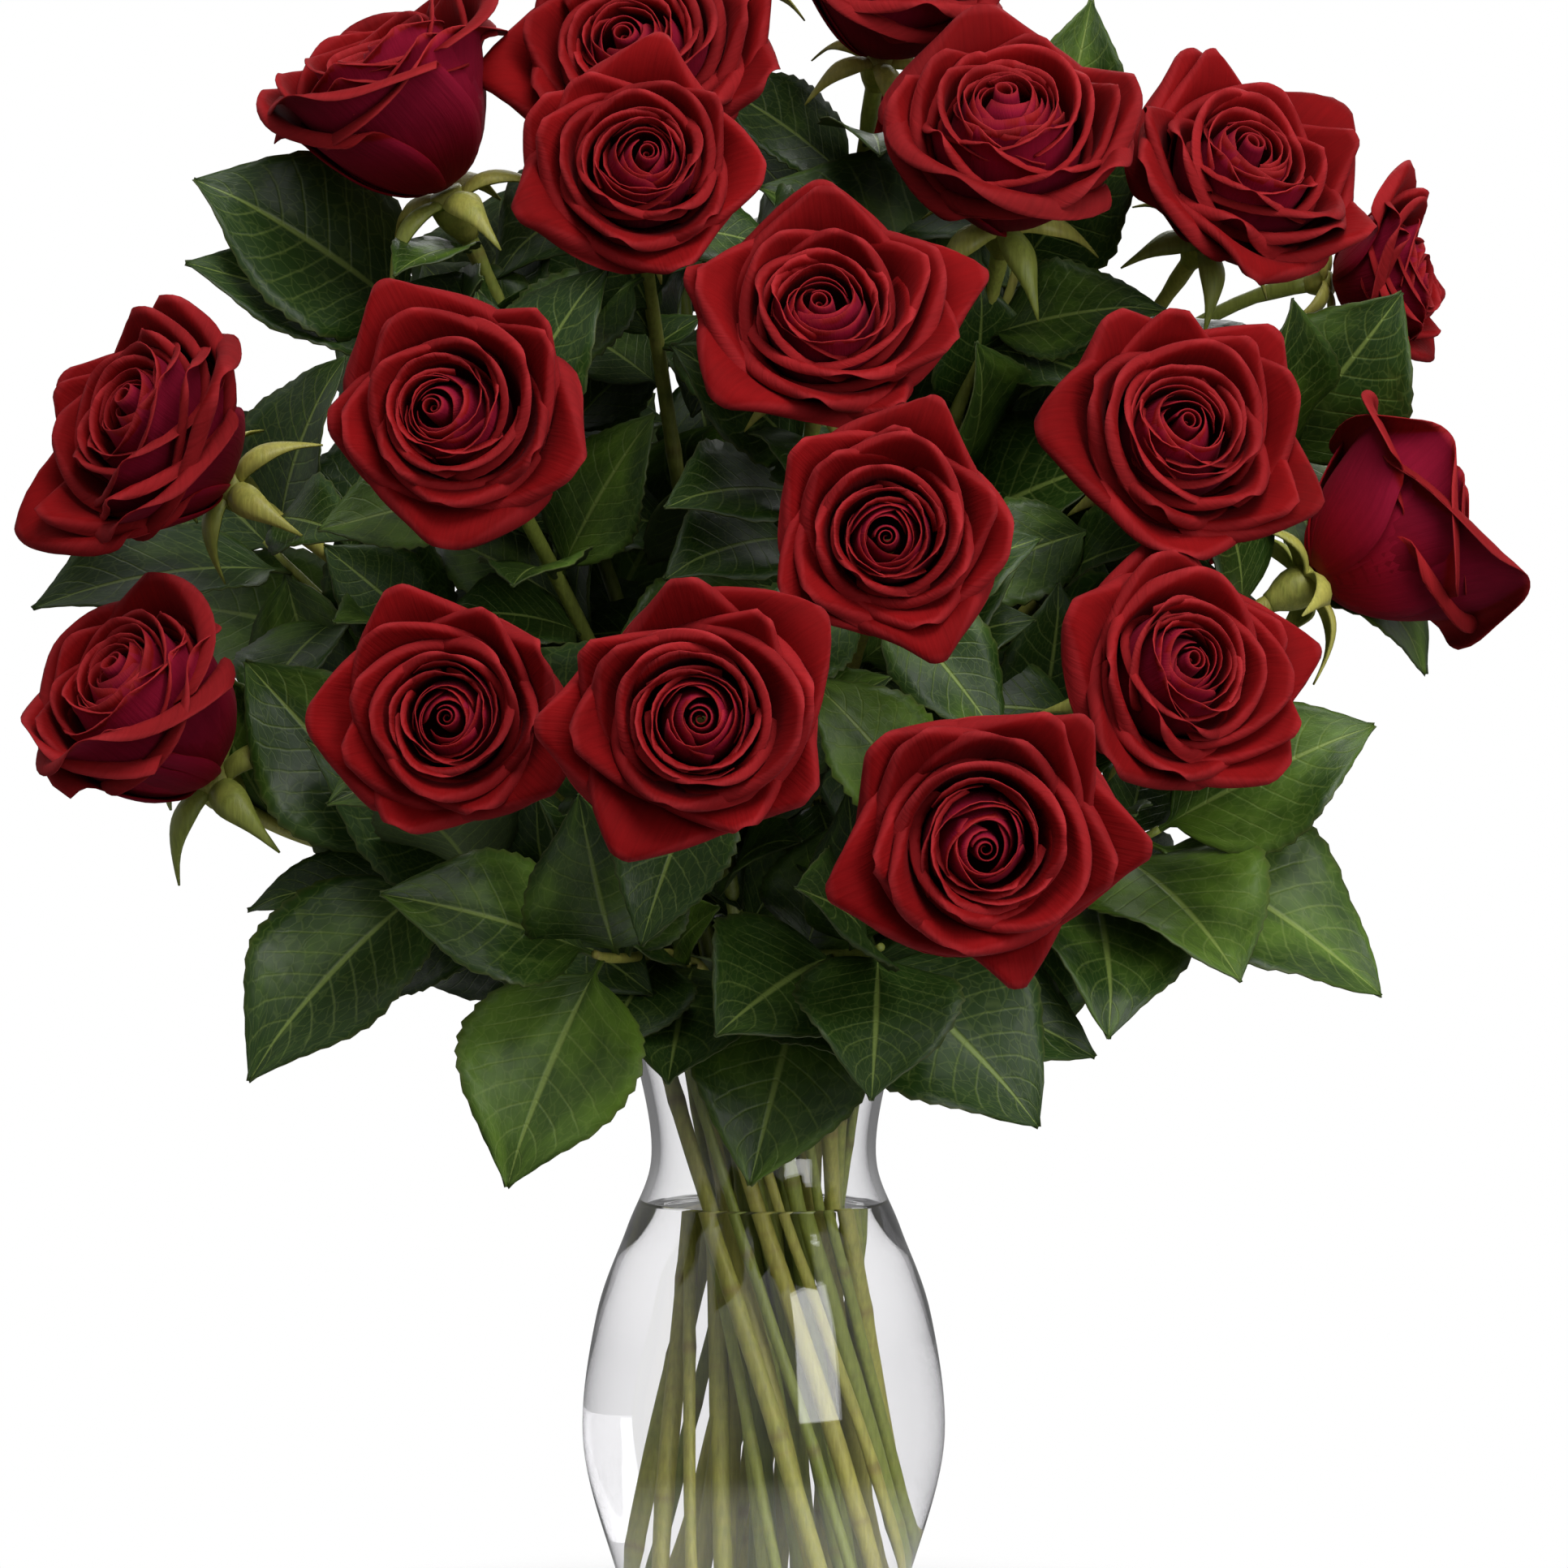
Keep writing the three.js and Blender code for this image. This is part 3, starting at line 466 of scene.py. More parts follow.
def meshObject(name, parts, materials, node, marks=()):
    # one object from parts, each its points in mm, triangles, material number and marks
    points = np.concatenate([part[0] for part in parts]) * mm
    starts = np.cumsum([0] + [len(part[0]) for part in parts])
    faces = np.concatenate([part[1] + start for part, start in zip(parts, starts)])
    kinds = np.concatenate([np.full(len(part[1]), part[2]) for part in parts])
    mesh = bpy.data.meshes.new(name)
    mesh.vertices.add(len(points))
    mesh.vertices.foreach_set("co", points.ravel())
    mesh.loops.add(faces.size)
    mesh.loops.foreach_set("vertex_index", faces.ravel())
    mesh.polygons.add(len(faces))
    mesh.polygons.foreach_set("loop_start", np.arange(0, faces.size, 3))
    mesh.polygons.foreach_set("material_index", kinds)
    mesh.polygons.foreach_set("use_smooth", np.ones(len(faces), bool))
    for k, mark in enumerate(marks):
        layer = mesh.attributes.new(mark, "FLOAT_VECTOR", "POINT")
        layer.data.foreach_set("vector", np.concatenate([part[3][k] for part in parts]).ravel())
    for material in materials:
        mesh.materials.append(material)
    mesh.update(calc_edges=True)
    mesh.validate()
    piece = addObject(name, mesh)
    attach(piece, "root")
    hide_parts(node)


def placed(rose, size, points, faces, marks):
    # a part made about its own axis, turned by the shortest way to its bloom's heading and set on its root
    turn = Vector((0, 0, 1)).rotation_difference(Vector(rose["heading"])).to_matrix()
    return points * size @ np.array(turn).T + rose["root"], faces, 0, marks


def gridFaces(rows, columns, wrap=False):
    r, c = np.meshgrid(np.arange(rows - 1), np.arange(columns if wrap else columns - 1), indexing="ij")
    a = r * columns + c
    b = r * columns + (c + 1) % columns
    return np.stack([a, b, b + columns, a + columns], -1).reshape(-1, 4)


def halved(quads):
    return np.concatenate([quads[:, [0, 1, 2]], quads[:, [0, 2, 3]]])


def sheetSolid(face, normal, depth, marks):
    # a closed thin sheet: the face grid, a second grid depth below it, and a rim all round; both grids are
    # halved along the same diagonals, or they would cross where the sheet is twisted, and the diagonals
    # run up towards the middle line, as a petal's folds do
    rows, columns = face.shape[:2]
    under = face - normal * depth[..., None]
    quads = gridFaces(rows, columns)
    right = np.tile(np.arange(columns - 1) >= (columns - 1) / 2, rows - 1)
    top = np.concatenate([halved(quads[~right]), halved(np.roll(quads[right], 1, axis=1))])
    count = rows * columns
    index = np.arange(count).reshape(rows, columns)
    edge = np.concatenate([index[0], index[1:, -1], index[-1, -2::-1], index[-2:0:-1, 0]])
    after = np.roll(edge, -1)
    rim = halved(np.stack([after, edge, edge + count, after + count], -1))
    marks = [np.tile(mark.reshape(-1, 3), (2, 1)) for mark in marks]
    marks[1][:, 2] = np.repeat([0, 1], count)  # which side of the sheet
    points = np.concatenate([face.reshape(-1, 3), under.reshape(-1, 3)])
    return points, np.concatenate([top, top[:, ::-1] + count, rim]), marks


def sheetNormals(face, outward, rows=None):
    # a grid's normals, on the side that the given rows' outward directions point to
    normal = unit(np.cross(np.gradient(face, axis=1), np.gradient(face, axis=0)) + 1e-12)
    return normal * np.sign(np.sum(normal * outward, -1)[:rows].mean())


def tubeFaces(rings, sides):
    # the triangles between rings of points, and those of the caps round two end points that follow them
    here = np.arange(sides)
    there = (here + 1) % sides
    end = (rings - 1) * sides
    pole = np.full(sides, rings * sides)
    return np.concatenate([
        halved(gridFaces(rings, sides, True)),
        np.stack([pole, there, here], -1),
        np.stack([pole + 1, here + end, there + end], -1)])


def turnedSolid(profile, sides):
    # a closed body turned about Z from a profile that starts and ends on the axis
    inner = profile[1:-1]
    points = polar(inner[:, :1], circle(sides), inner[:, 1:]).reshape(-1, 3)
    poles = [[0, 0, profile[0][1]], [0, 0, profile[-1][1]]]
    return np.concatenate([points, poles]), tubeFaces(len(inner), sides)


def tubeSolid(path, radii, sides, cutTilt):
    # a closed rod along a path, its first end cut on the slant
    along = unit(np.gradient(path, axis=0))
    side = unit(np.cross(along[0], [0.3, 0.9, 0.1]))
    ring = circle(sides)
    rings = []
    for place, way, radius in zip(path, along, radii):
        side = unit(side - way * np.dot(side, way))
        other = np.cross(way, side)
        rings.append(place + radius * (np.cos(ring)[:, None] * side + np.sin(ring)[:, None] * other))
    rings[0] = rings[0] + along[0] * (cutTilt * radii[0] * np.cos(ring))[:, None]
    return np.concatenate(rings + [path[:1], path[-1:]]), tubeFaces(len(path), sides)


def petalRun(layer, length, along, turn, reach):
    # the run of a petal's middle line, with a further turn of its lip, as radius, height and lean
    form = petalForm
    base, belly, flare, lip = (low + more * layer ** power for low, more, power in petalLeans.values())
    radius, height = (start + 0 * along for start in form["foot"])
    steps = form["runSteps"]
    for k in range(steps):
        v = (k + 0.5) / steps * along
        lean = base * (1 - v) ** 2 + 2 * belly * v * (1 - v) + flare * v ** 2 + lip * v ** 6
        lean = lean + turn * smoothStep(0.86, 1.04, v / reach)
        radius = radius + length * along / steps * degSin(lean)
        height = height + length * along / steps * degCos(lean)
    return np.maximum(radius, 1.2), height, lean


def makePetal(rose, whorl, middle, bearing, reach, draw):
    # one petal: a flat blade whose margin folds back along two lines that meet in its tip, then bent up
    # along its layer's run and round the bloom's axis
    form, varies = petalForm, petalForm["varies"]
    heart = int(middle < form["heartLayer"])
    chance = draw.uniform(-1, 1, 12)
    furled = min(1, (1 - rose["open"]) / form["furlRange"])
    outermost = whorl is petalWhorls[0]
    even = 1 - form["furlEven"] * furled
    aside = (0 if heart else form["tipAside"] * even) * chance[8]
    u = np.linspace(-1, 1, form["across"][heart])
    u = aside + (np.sign(u) - aside) * np.abs(u) ** form["columnPower"]
    u, v = np.meshgrid(u, np.linspace(0, 1, form["along"][heart]) ** form["rowPower"])
    wide = np.abs(u - aside)
    jitter = form["jitter"][heart] * (np.sin(2.6 * u + 6 * chance[9]) + 0.7 * chance[11])
    layer = np.clip(rose["open"] * (middle + whorl["tuck"] * u + jitter), 0, 1)
    length = form["shortest"] + form["longer"] * layer
    fall = whorl["fall"] * (1 + varies["fall"] * chance[0])
    uneven = form["uneven"] * chance[1] * u * wide + form["scallop"] * wide * np.sin(9 * u + 5 * chance[2])
    edge = reach * (1 - fall * wide ** 2.2 + uneven)
    rising = np.sin(np.pi / 2 * np.clip(v / form["fullFrom"], 0, 1)) ** 0.9
    half = whorl["half"] * (1 + varies["half"] * chance[3]) * (form["claw"] + (1 - form["claw"]) * rising)
    across = wide * half
    along = v * edge * length
    slope = math.radians(whorl["slope"] + varies["slope"] * chance[4] + form["furlSlope"] * furled)
    bulge = whorl["bulge"] + varies["bulge"] * chance[10] * (not heart)
    bulge = bulge * np.sin(np.pi * np.minimum(wide, 1))
    beyond = across * math.cos(slope) + (along - reach * length) * math.sin(slope) - bulge
    beyond = np.maximum(0, beyond) * smoothStep(*(np.array(form["foldFrom"]) + form["furlUp"] * furled), v)
    roll = whorl["roll"] * (1 + varies["roll"] * chance[5])
    roll = roll * (1 + (form["furlRoll"] if outermost else -form["furlTight"]) * furled)
    furthest = math.radians(whorl["bend"] * (1 - form["furlBend"] * furled))
    flap = roll * furthest + form["flap"] * (1 if outermost else 1 - form["furlFlap"] * furled)
    past = flap * np.tanh(beyond / flap)  # the folded margin stays narrow
    bent = np.minimum(past / roll, furthest)
    flat = past - roll * bent
    pull = beyond - roll * np.sin(bent) - flat * np.cos(bent)
    out = roll * (1 - np.cos(bent)) + flat * np.sin(bent)
    out = out + form["billow"] * smoothStep(0.4, 1, v) * np.sin(3.4 * u + 6 * chance[6] + 2 * v) * middle
    out = out + form["lift"] * smoothStep(0.6, 1, u) * middle * np.sin(np.pi * np.minimum(v, 0.5))
    across = np.sign(u - aside) * (across - pull * math.cos(slope)) + aside * half
    along = along - pull * math.sin(slope)
    turn = whorl["turn"] + form["turnRange"] * even * chance[7] * middle
    turn = turn * rose["open"] * (1 - 0.25 * wide ** 2)
    radius, height, lean = petalRun(layer, length, along / length, turn, reach)
    wrap = np.clip(across / np.maximum(radius, 3.5), -form["furthestWrap"], form["furthestWrap"])
    angle = math.radians(bearing) + wrap
    face = polar(radius + out * degCos(lean), angle, height - out * degSin(lean))
    leaning = max(0, 1 - middle / form["leanLayer"]) * face[..., 2:] / form["shortest"]
    face[..., :2] += rose["heartOff"] * leaning
    normal = sheetNormals(face, polar(degCos(lean), angle, -degSin(lean)), len(u) // 2)
    depth = form["thickness"] + (form["lipThickness"] - form["thickness"]) * v
    mark = triple(u, v, 0.5 + 0.5 * chance[0])
    shade = triple(np.minimum(bent, 1), 0.5 + 0.5 * chance[2], 0)
    return sheetSolid(face, normal, depth, (mark, shade))


def makeCoil(rose):
    # the furled middle of the heart, one petal wound on itself
    form = heartCoil
    u, v = np.meshgrid(np.linspace(0, 1, form["across"]), np.linspace(0, 1, form["along"]))
    furl = 0.75 + 0.25 * rose["open"]
    swell = 1.25 - 0.35 * v ** 2
    radius = (form["from"] + (form["to"] - form["from"]) * u) * swell * furl
    angle = 2 * np.pi * form["turns"] * u + math.radians(rose["turn"])
    top = form["top"] - 1.6 * np.cos(5 * u) - 1.2 * (1 - u)
    face = polar(radius, angle, form["bottom"] + (top - form["bottom"]) * v)
    face[..., :2] += rose["heartOff"] * face[..., 2:] / petalForm["shortest"]
    normal = sheetNormals(face, polar(1, angle, 0))
    marks = triple(2 * u - 1, 0.4 + 0.6 * v, 0.5), triple(0 * u, 0.4, 0)
    return sheetSolid(face, normal, np.full_like(u, form["thickness"]), marks)


def makeBloom(rose):
    form = petalForm
    draw = np.random.default_rng(rose["number"] * seeds["bloom"])
    size = drawnSizes.get(rose["number"], rose["size"])
    way = draw.uniform(0, 360)
    rose["heartOff"] = form["heartLean"] * draw.uniform(0.3, 1) * np.array([degCos(way), degSin(way)])
    bearing = draw.uniform(0, 360)
    further, strays = form["whorlTurn"]
    share, varies = form["reach"]
    parts = []
    for order, whorl in enumerate(petalWhorls):
        count = whorl["count"]
        bearing += further + draw.uniform(-strays, strays)
        for place, middle in enumerate(np.linspace(*whorl["layers"], count)):
            heart = middle < form["heartLayer"]
            if order == 0:
                toward = rose["turn"] + place * 360 / count
                reach = 1 + form["outerReach"] * math.sin(rose["turn"] + 2.4 * place)
            else:
                bearing += form["heartTurn"] if heart else 360 / count
                toward = bearing + form["petalTurn"] * draw.uniform(-1, 1)
                reach = share - heart * form["heartSink"] + draw.uniform(-varies, varies)
            parts.append(placed(rose, size, *makePetal(rose, whorl, middle, toward, reach, draw)))
    parts.append(placed(rose, size, *makeCoil(rose)))
    label = rose["label"]
    meshObject("roseBloom" + label, parts, [petalRed], "bloom_" + label, markNames)


def leafOrigin(place):
    # the point that leaves near a place fan out from
    fan = leafForm["fan"]
    depth = fan["front"] if place[1] < leafForm["frontDepth"] else fan["back"]
    return np.array([fan["share"] * place[0], depth, place[2] - fan["below"]])


def turnedAbout(v, axis, angle):
    c, s = degCos(angle), degSin(angle)
    return v * c + np.cross(axis, v) * s + axis * np.dot(axis, v) * (1 - c)


def grownTip(root, tip, corners):
    # the end of the leaf that grew from this root: the turn and size whose tip the solid has
    aim = tip - root
    aim = aim * min(1, leafForm["longest"] / np.linalg.norm(aim))
    outward = unit(root - leafOrigin(root))
    side = unit(np.cross(aim, outward))
    for size in leafSizes:
        for swing, lift in leafTurns:
            end = root + size * turnedAbout(turnedAbout(aim, side, lift), outward, swing)
            if np.abs(corners - end).max(axis=1).min() < leafForm["match"]:
                return end
    return None


def leafHalf(t):
    along = np.clip((t - 0.1) / 0.9, 0, 1)
    return np.sin(np.pi * along ** 0.82) ** 0.95 * (1 - 0.15 * along)


def leafAxes(leaf):
    # a leaf's run from root to tip, its length, and the way that its upper face looks
    along = leaf["tip"] - leaf["root"]
    middle = (leaf["root"] + leaf["tip"]) / 2
    outward = unit(middle - leafOrigin(middle)) + [0, 0, 0.2]
    return along, np.linalg.norm(along), outward


def makeLeaf(leaf, draw, serrate):
    form = leafForm
    root, fine = leaf["root"], leaf["fine"]
    stalk = form["stalk"]
    t = np.concatenate([stalk, np.linspace(form["bladeFrom"], 1, form["along"][fine] - len(stalk))])
    u, t = np.meshgrid(np.linspace(-1, 1, form["across"][fine]), t)
    along, length, outward = leafAxes(leaf)
    along = along / length
    across = unit(np.cross(along, outward))
    face = np.cross(across, along)
    chance = draw.uniform(-1, 1, 5)
    full = leaf["width"] * length
    teeth = ((t - form["bladeFrom"]) * form["teeth"] * (1 + 0.1 * chance[0])) % 1
    notch = 1 - serrate * (1 - teeth) * smoothStep(0.14, 0.25, t) * smoothStep(1.0, 0.9, t)
    half = np.maximum(full * leafHalf(t) * notch, 0.9 - 0.75 * smoothStep(0.9, 1, t))
    wave = form["wave"] * full * leafHalf(t) * np.cos(np.pi * (t - 0.42) / 0.32)
    wide = np.abs(u)
    lift = form["fold"] * full * leafHalf(t) * wide ** 1.35 - u * wave * wide
    rib = form["arch"] * length * t * (1 - t)
    curl = form["curl"] * length * smoothStep(0.75, 1, t) ** 2 * (0.5 + chance[1])
    veinPhase = (t - 0.16 - (0.24 * wide + 0.08 * wide ** 2) * (1 - 0.4 * t)) * form["sideVeins"] / 0.8
    quilt = form["quilt"] * (1 - np.abs(2 * (veinPhase % 1) - 1) ** 3) * smoothStep(0.03, 0.2, wide)
    quilt = quilt * smoothStep(0.12, 0.3, t) - form["groove"] * hump(u * half, form["grooveWidth"])
    ruffle = form["ruffle"] * full * wide ** 3 * np.sin(22 * t + 6 * chance[2] + np.sign(u))
    ruffle = ruffle * smoothStep(0.15, 0.4, t)
    shift = (leaf["sprout"] - root) * (1 - t[..., None]) ** 2
    points = (root + shift + along * (t * length)[..., None] + across * (u * half)[..., None]
              + face * (rib + lift + quilt + ruffle - curl)[..., None])
    depth = form["thickness"] + form["ribThickness"] * hump(u * half, form["ribWidth"]) * (1 - 0.7 * t)
    young = leaf["young"] + 0.5 * (1 - leaf["young"]) * chance[3]
    marks = triple(u, t, young), triple(veinPhase, 0, 0)
    points, faces, marks = sheetSolid(points, sheetNormals(points, face), depth, marks)
    return points, faces, 1, marks


def newLeaf(root, tip, width, young=leafForm["young"], fine=1, sprout=None):
    # the drawn leaf sprouts from the smooth stem, where the solid's roots on the faceted one
    return {"root": root, "sprout": root if sprout is None else sprout, "tip": tip, "width": width,
            "young": young, "fine": fine}


def solidCorners(node):
    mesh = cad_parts[node].data
    corners = np.empty(len(mesh.vertices) * 3)
    mesh.vertices.foreach_get("co", corners)
    return corners.reshape(-1, 3) / mm


def solidLeaves(plant, node, rooted, young, aimOf):
    # the leaves that the solid has, of those listed; aimOf gives a listed leaf's tip and half width's share
    corners = solidCorners(node)
    found = []
    for place, *rest in plant["leaves"]:
        root = atStation(plant["path"], place * rooted)
        goal, width = aimOf(plant, root, *rest)
        tip = grownTip(root, goal, corners)
        if tip is not None:
            sprout = bezier(plant["path"]["handles"], place * rooted)
            found.append(newLeaf(root, tip, width, young, 1, sprout))
    return found


def roseAim(rose, root, slope):
    depth = leafForm["roseLean"] * (-1 if rose["root"][1] < leafForm["frontDepth"] else 1)
    way = unit(np.array([degCos(slope), depth, degSin(slope)]))
    return root + leafForm["roseLength"] * way, leafForm["roseWidth"]


def branchAim(branch, root, tip, width):
    # a branch lists its leaves' tips, whatever they root on
    return np.array(tip, float), width


def leafSamples(leaf):
    # points along a leaf's middle line and its edges
    along, length, outward = leafAxes(leaf)
    across = unit(np.cross(along, outward))
    face = unit(np.cross(across, along))
    t = np.array([0.3, 0.5, 0.7, 0.85, 1.0])[:, None]
    line = leaf["root"] + along * t + face * leafForm["arch"] * length * t * (1 - t)
    half = across * leaf["width"] * length * leafHalf(t) * 0.7
    return np.concatenate([line, line + half, line - half])


def inBloom(points):
    low, high = fillers["bloomHeights"]
    room, widening = fillers["bloomRoom"]
    for rose in roses:
        away = (points - rose["root"]) / rose["size"]
        up = away @ rose["heading"]
        out = np.linalg.norm(away - up[:, None] * rose["heading"], axis=1)
        if np.any((up > low) & (up < high) & (out < room + widening * np.maximum(up, 0))):
            return True
    return False


def fits(samples):
    # whether a filler stays inside the bouquet and out of the blooms and the vase's mouth
    form = fillers
    if (((samples - form["center"]) / form["reach"]) ** 2).sum(axis=1).max() > 1 or inBloom(samples):
        return False
    low = samples[:, 2] < rimHeight + form["rimLayer"]
    return not np.any(low & (np.hypot(samples[:, 0], samples[:, 1]) < form["rimRoom"]))


def growFillers(plants):
    # leaves deep inside the bouquet, each grown from a stem where there is room for it
    form = fillers
    draw = np.random.default_rng(form["seed"])
    taken = [leafSamples(leaf) for plant in plants for leaf in plant["grown"]]
    before = len(taken)
    for _ in range(form["rounds"]):
        for plant in plants:
            root = bezier(plant["path"]["handles"], draw.uniform(*form["stations"]))
            way = unit(root * [1, 1, 0] + 1e-6) * draw.uniform(0, 1) + draw.normal(0, form["scatter"], 3)
            tip = root + draw.uniform(*form["lengths"]) * unit(way)
            leaf = newLeaf(root, tip, draw.uniform(*form["widths"]), form["young"], 0)
            samples = leafSamples(leaf)
            if not fits(samples):
                continue
            gaps = np.linalg.norm(np.concatenate(taken)[:, None] - samples, axis=-1)
            if gaps.min() > form["room"]:
                plant["grown"].append(leaf)
                taken.append(samples)
    print("filler leaves", len(taken) - before)


def stemPart(path, kind, draw):
    # one rod from the foot through the neck to the bloom, with a swelling at each node
    share = np.linspace(0, 1, sheaf["steps"])
    straight = path["foot"] + (path["handles"][0] - path["foot"]) * share[:, None]
    line = np.concatenate([straight, bezier(path["handles"], share)[1:]])
    run = np.concatenate([[0], np.cumsum(np.linalg.norm(np.diff(line, axis=0), axis=1))])
    first = draw.uniform(0.3, 0.9) * sheaf["nodeSpacing"]
    count, stray = sheaf["nodes"], sheaf["nodeStray"]
    nodes = first + sheaf["nodeSpacing"] * np.arange(count) + draw.uniform(-stray, stray, count)
    swell = hump(run[:, None] - nodes, sheaf["nodeReach"]).max(axis=1)
    wide, taper = sheaf["taper"]
    radii = kind["radius"] * (wide - taper * run / run[-1] + sheaf["nodeSwell"] * swell)
    radii[-3:] = kind["radius"] * kind["top"]
    sides = sheaf["sides"]
    points, faces = tubeSolid(line, radii, sides, draw.uniform(*sheaf["cut"]))
    ends = np.concatenate([np.repeat(swell, sides), [0.2, 0]])
    runs = np.concatenate([np.repeat(run, sides), [0, run[-1]]])
    mark = triple(runs / 100, ends, draw.uniform())
    return points, faces, 0, (mark, np.zeros_like(mark))


calyxForm = {
    "hip": [(0, -14.5), (2.6, -13.6), (3.1, -12), (4.4, -9.6), (5.3, -7), (5.5, -4.4), (4.9, -2.2), (4.3, -1),
            (4, -0.3), (0, -0.3)],
    "hipSides": 20,
    "sepals": 5,
    "across": 5,
    "along": 14,
    "half": 4.6,
    "from": 3.2,
    "length": (21.5, 2),  # and how much it varies
    "droop": 12.5,
    "thickness": 0.5,
}


def calyxParts(rose, draw):
    form = calyxForm
    points, faces = turnedSolid(np.array(form["hip"]), form["hipSides"])
    mark = triple(points[:, 2] / 100, 0.1, 0.5)
    parts = [placed(rose, rose["size"], points, faces, (mark, np.zeros_like(mark)))]
    u, t = np.meshgrid(np.linspace(-1, 1, form["across"]), np.linspace(0, 1, form["along"]))
    half = form["half"] * (1 - t) ** 0.75 * (0.75 + 0.6 * np.sin(np.pi * t) ** 2) + 0.25
    high = -1.2 - form["droop"] * t ** 2.2 + 2.6 * np.sin(np.pi * t) - 0.5 * (u ** 2) * half
    for k in range(form["sepals"]):
        chance = draw.uniform(-1, 1, 3)
        out = form["from"] + (form["length"][0] + form["length"][1] * chance[0]) * t
        aside = u * half + 1.6 * chance[1] * t ** 2
        turn = math.radians(360 / form["sepals"] * k)
        c, s = math.cos(turn), math.sin(turn)
        face = triple(out * c - aside * s, out * s + aside * c, high)
        mark = triple(out / 100, 0.05, 0.5 + 0.5 * chance[2])
        depth = form["thickness"] + form["thickness"] * (1 - t)
        points, faces, marks = sheetSolid(face, sheetNormals(face, [0, 0, 1]), depth, (mark, 0 * mark))
        marks[1][:, 2] = 0
        parts.append(placed(rose, rose["size"], points, faces, marks))
    return parts


class Value:
    # a node's output; an expression on it adds its Math nodes
    def __init__(self, shader, socket):
        self.shader = shader
        self.socket = socket

    def maths(self, operation, *numbers):
        return self.shader.node("Math", {"operation": operation}, dict(enumerate(numbers)))

    def __add__(self, other):
        return self.maths("ADD", self, other)

    def __sub__(self, other):
        return self.maths("SUBTRACT", self, other)

    def __rsub__(self, other):
        return self.maths("SUBTRACT", other, self)

    def __mul__(self, other):
        return self.maths("MULTIPLY", self, other)

    def __pow__(self, other):
        return self.maths("POWER", self, other)

    def __abs__(self):
        return self.maths("ABSOLUTE", self)

    __radd__ = __add__
    __rmul__ = __mul__

    def about(self, amount):
        # a noise's swing about its middle
        return (self - 0.5) * amount

    def within(self, low, high):
        # 0 below low, 1 above high, smooth between
        values = {"Value": self, "From Min": low, "From Max": high}
        return self.shader.node("MapRange", {"interpolation_type": "SMOOTHSTEP"}, values)


class Shader:
    # the node tree of a material or of the world
    def __init__(self, owner):
        owner.use_nodes = True
        self.owner = owner
        self.tree = owner.node_tree
        self.tree.nodes.clear()

    def node(self, kind, settings=None, values=None, output=0):
        made = self.tree.nodes.new("ShaderNode" + kind)
        for key, setting in (settings or {}).items():
            setattr(made, key, setting)
        for key, value in (values or {}).items():
            socket = made.inputs[key]
            if isinstance(value, Value):
                self.tree.links.new(value.socket, socket)
            else:
                socket.default_value = (*value, 1) if socket.type == "RGBA" else value
        return Value(self, made.outputs[output]) if made.outputs else None

    def split(self, vector):
        parts = self.node("SeparateXYZ", None, {"Vector": vector}).socket.node
        return [Value(self, socket) for socket in parts.outputs]

    def mark(self, name):
        return self.split(self.node("Attribute", {"attribute_name": name}, None, "Vector"))

    def joined(self, x, y, z):
        return self.node("CombineXYZ", None, {0: x, 1: y, 2: z})

    def grey(self, tone):
        return self.joined(tone, tone, tone)

    def blend(self, share, first, second, how="MIX"):
        settings = {"data_type": "RGBA", "blend_type": how}
        return self.node("Mix", settings, {0: share, 6: first, 7: second}, 2)

    def layered(self, color, finish, layers):
        # further colours over one, each by its share
        for key, share in layers:
            color = self.blend(share, color, finish[key])
        return color

    def shaded(self, color, tone):
        return self.blend(1.0, color, self.grey(tone), "MULTIPLY")

    def noise(self, vector, detail, scale=1.0):
        values = {"Vector": vector, "Scale": scale, "Detail": detail, "Roughness": 0.55}
        return self.node("TexNoise", None, values)

    def place(self):
        return self.node("TexCoord", None, None, "Object")

    def stretched(self, scale):
        return self.node("Mapping", None, {"Vector": self.place(), "Scale": scale})

    def bump(self, height, distance, strength):
        return self.node("Bump", None, {"Height": height, "Distance": distance, "Strength": strength})

    def principled(self, values):
        return self.node("BsdfPrincipled", None, values)

    def either(self, share, first, second):
        return self.node("MixShader", None, {0: share, 1: first, 2: second})

    def ray(self, kind):
        return self.node("LightPath", None, None, kind)

    def finish(self, surface, kind="Material"):
        self.node("Output" + kind, None, {"Surface": surface})
        return self.owner


petalFinish = {
    "heart": (0.24, 0.001, 0.002),  # painted shade: deeper red at the petals' bases, where they lie in shade
    "inner": (0.225, 0.004, 0.005),  # upper faces
    "outer": (0.270, 0.007, 0.030),  # backs
    # painted highlight: the lip colour lightens each petal's very edge and the crest of its rolled margin
    "lip": (0.390, 0.024, 0.028),
    "pale": (0.300, 0.045, 0.030),  # at the claw
    "roughness": 0.78,
    "gloss": 0.06,
    "sheen": 0.04,
    "sheenTint": (1.0, 0.25, 0.30),
    "veins": 34,
}


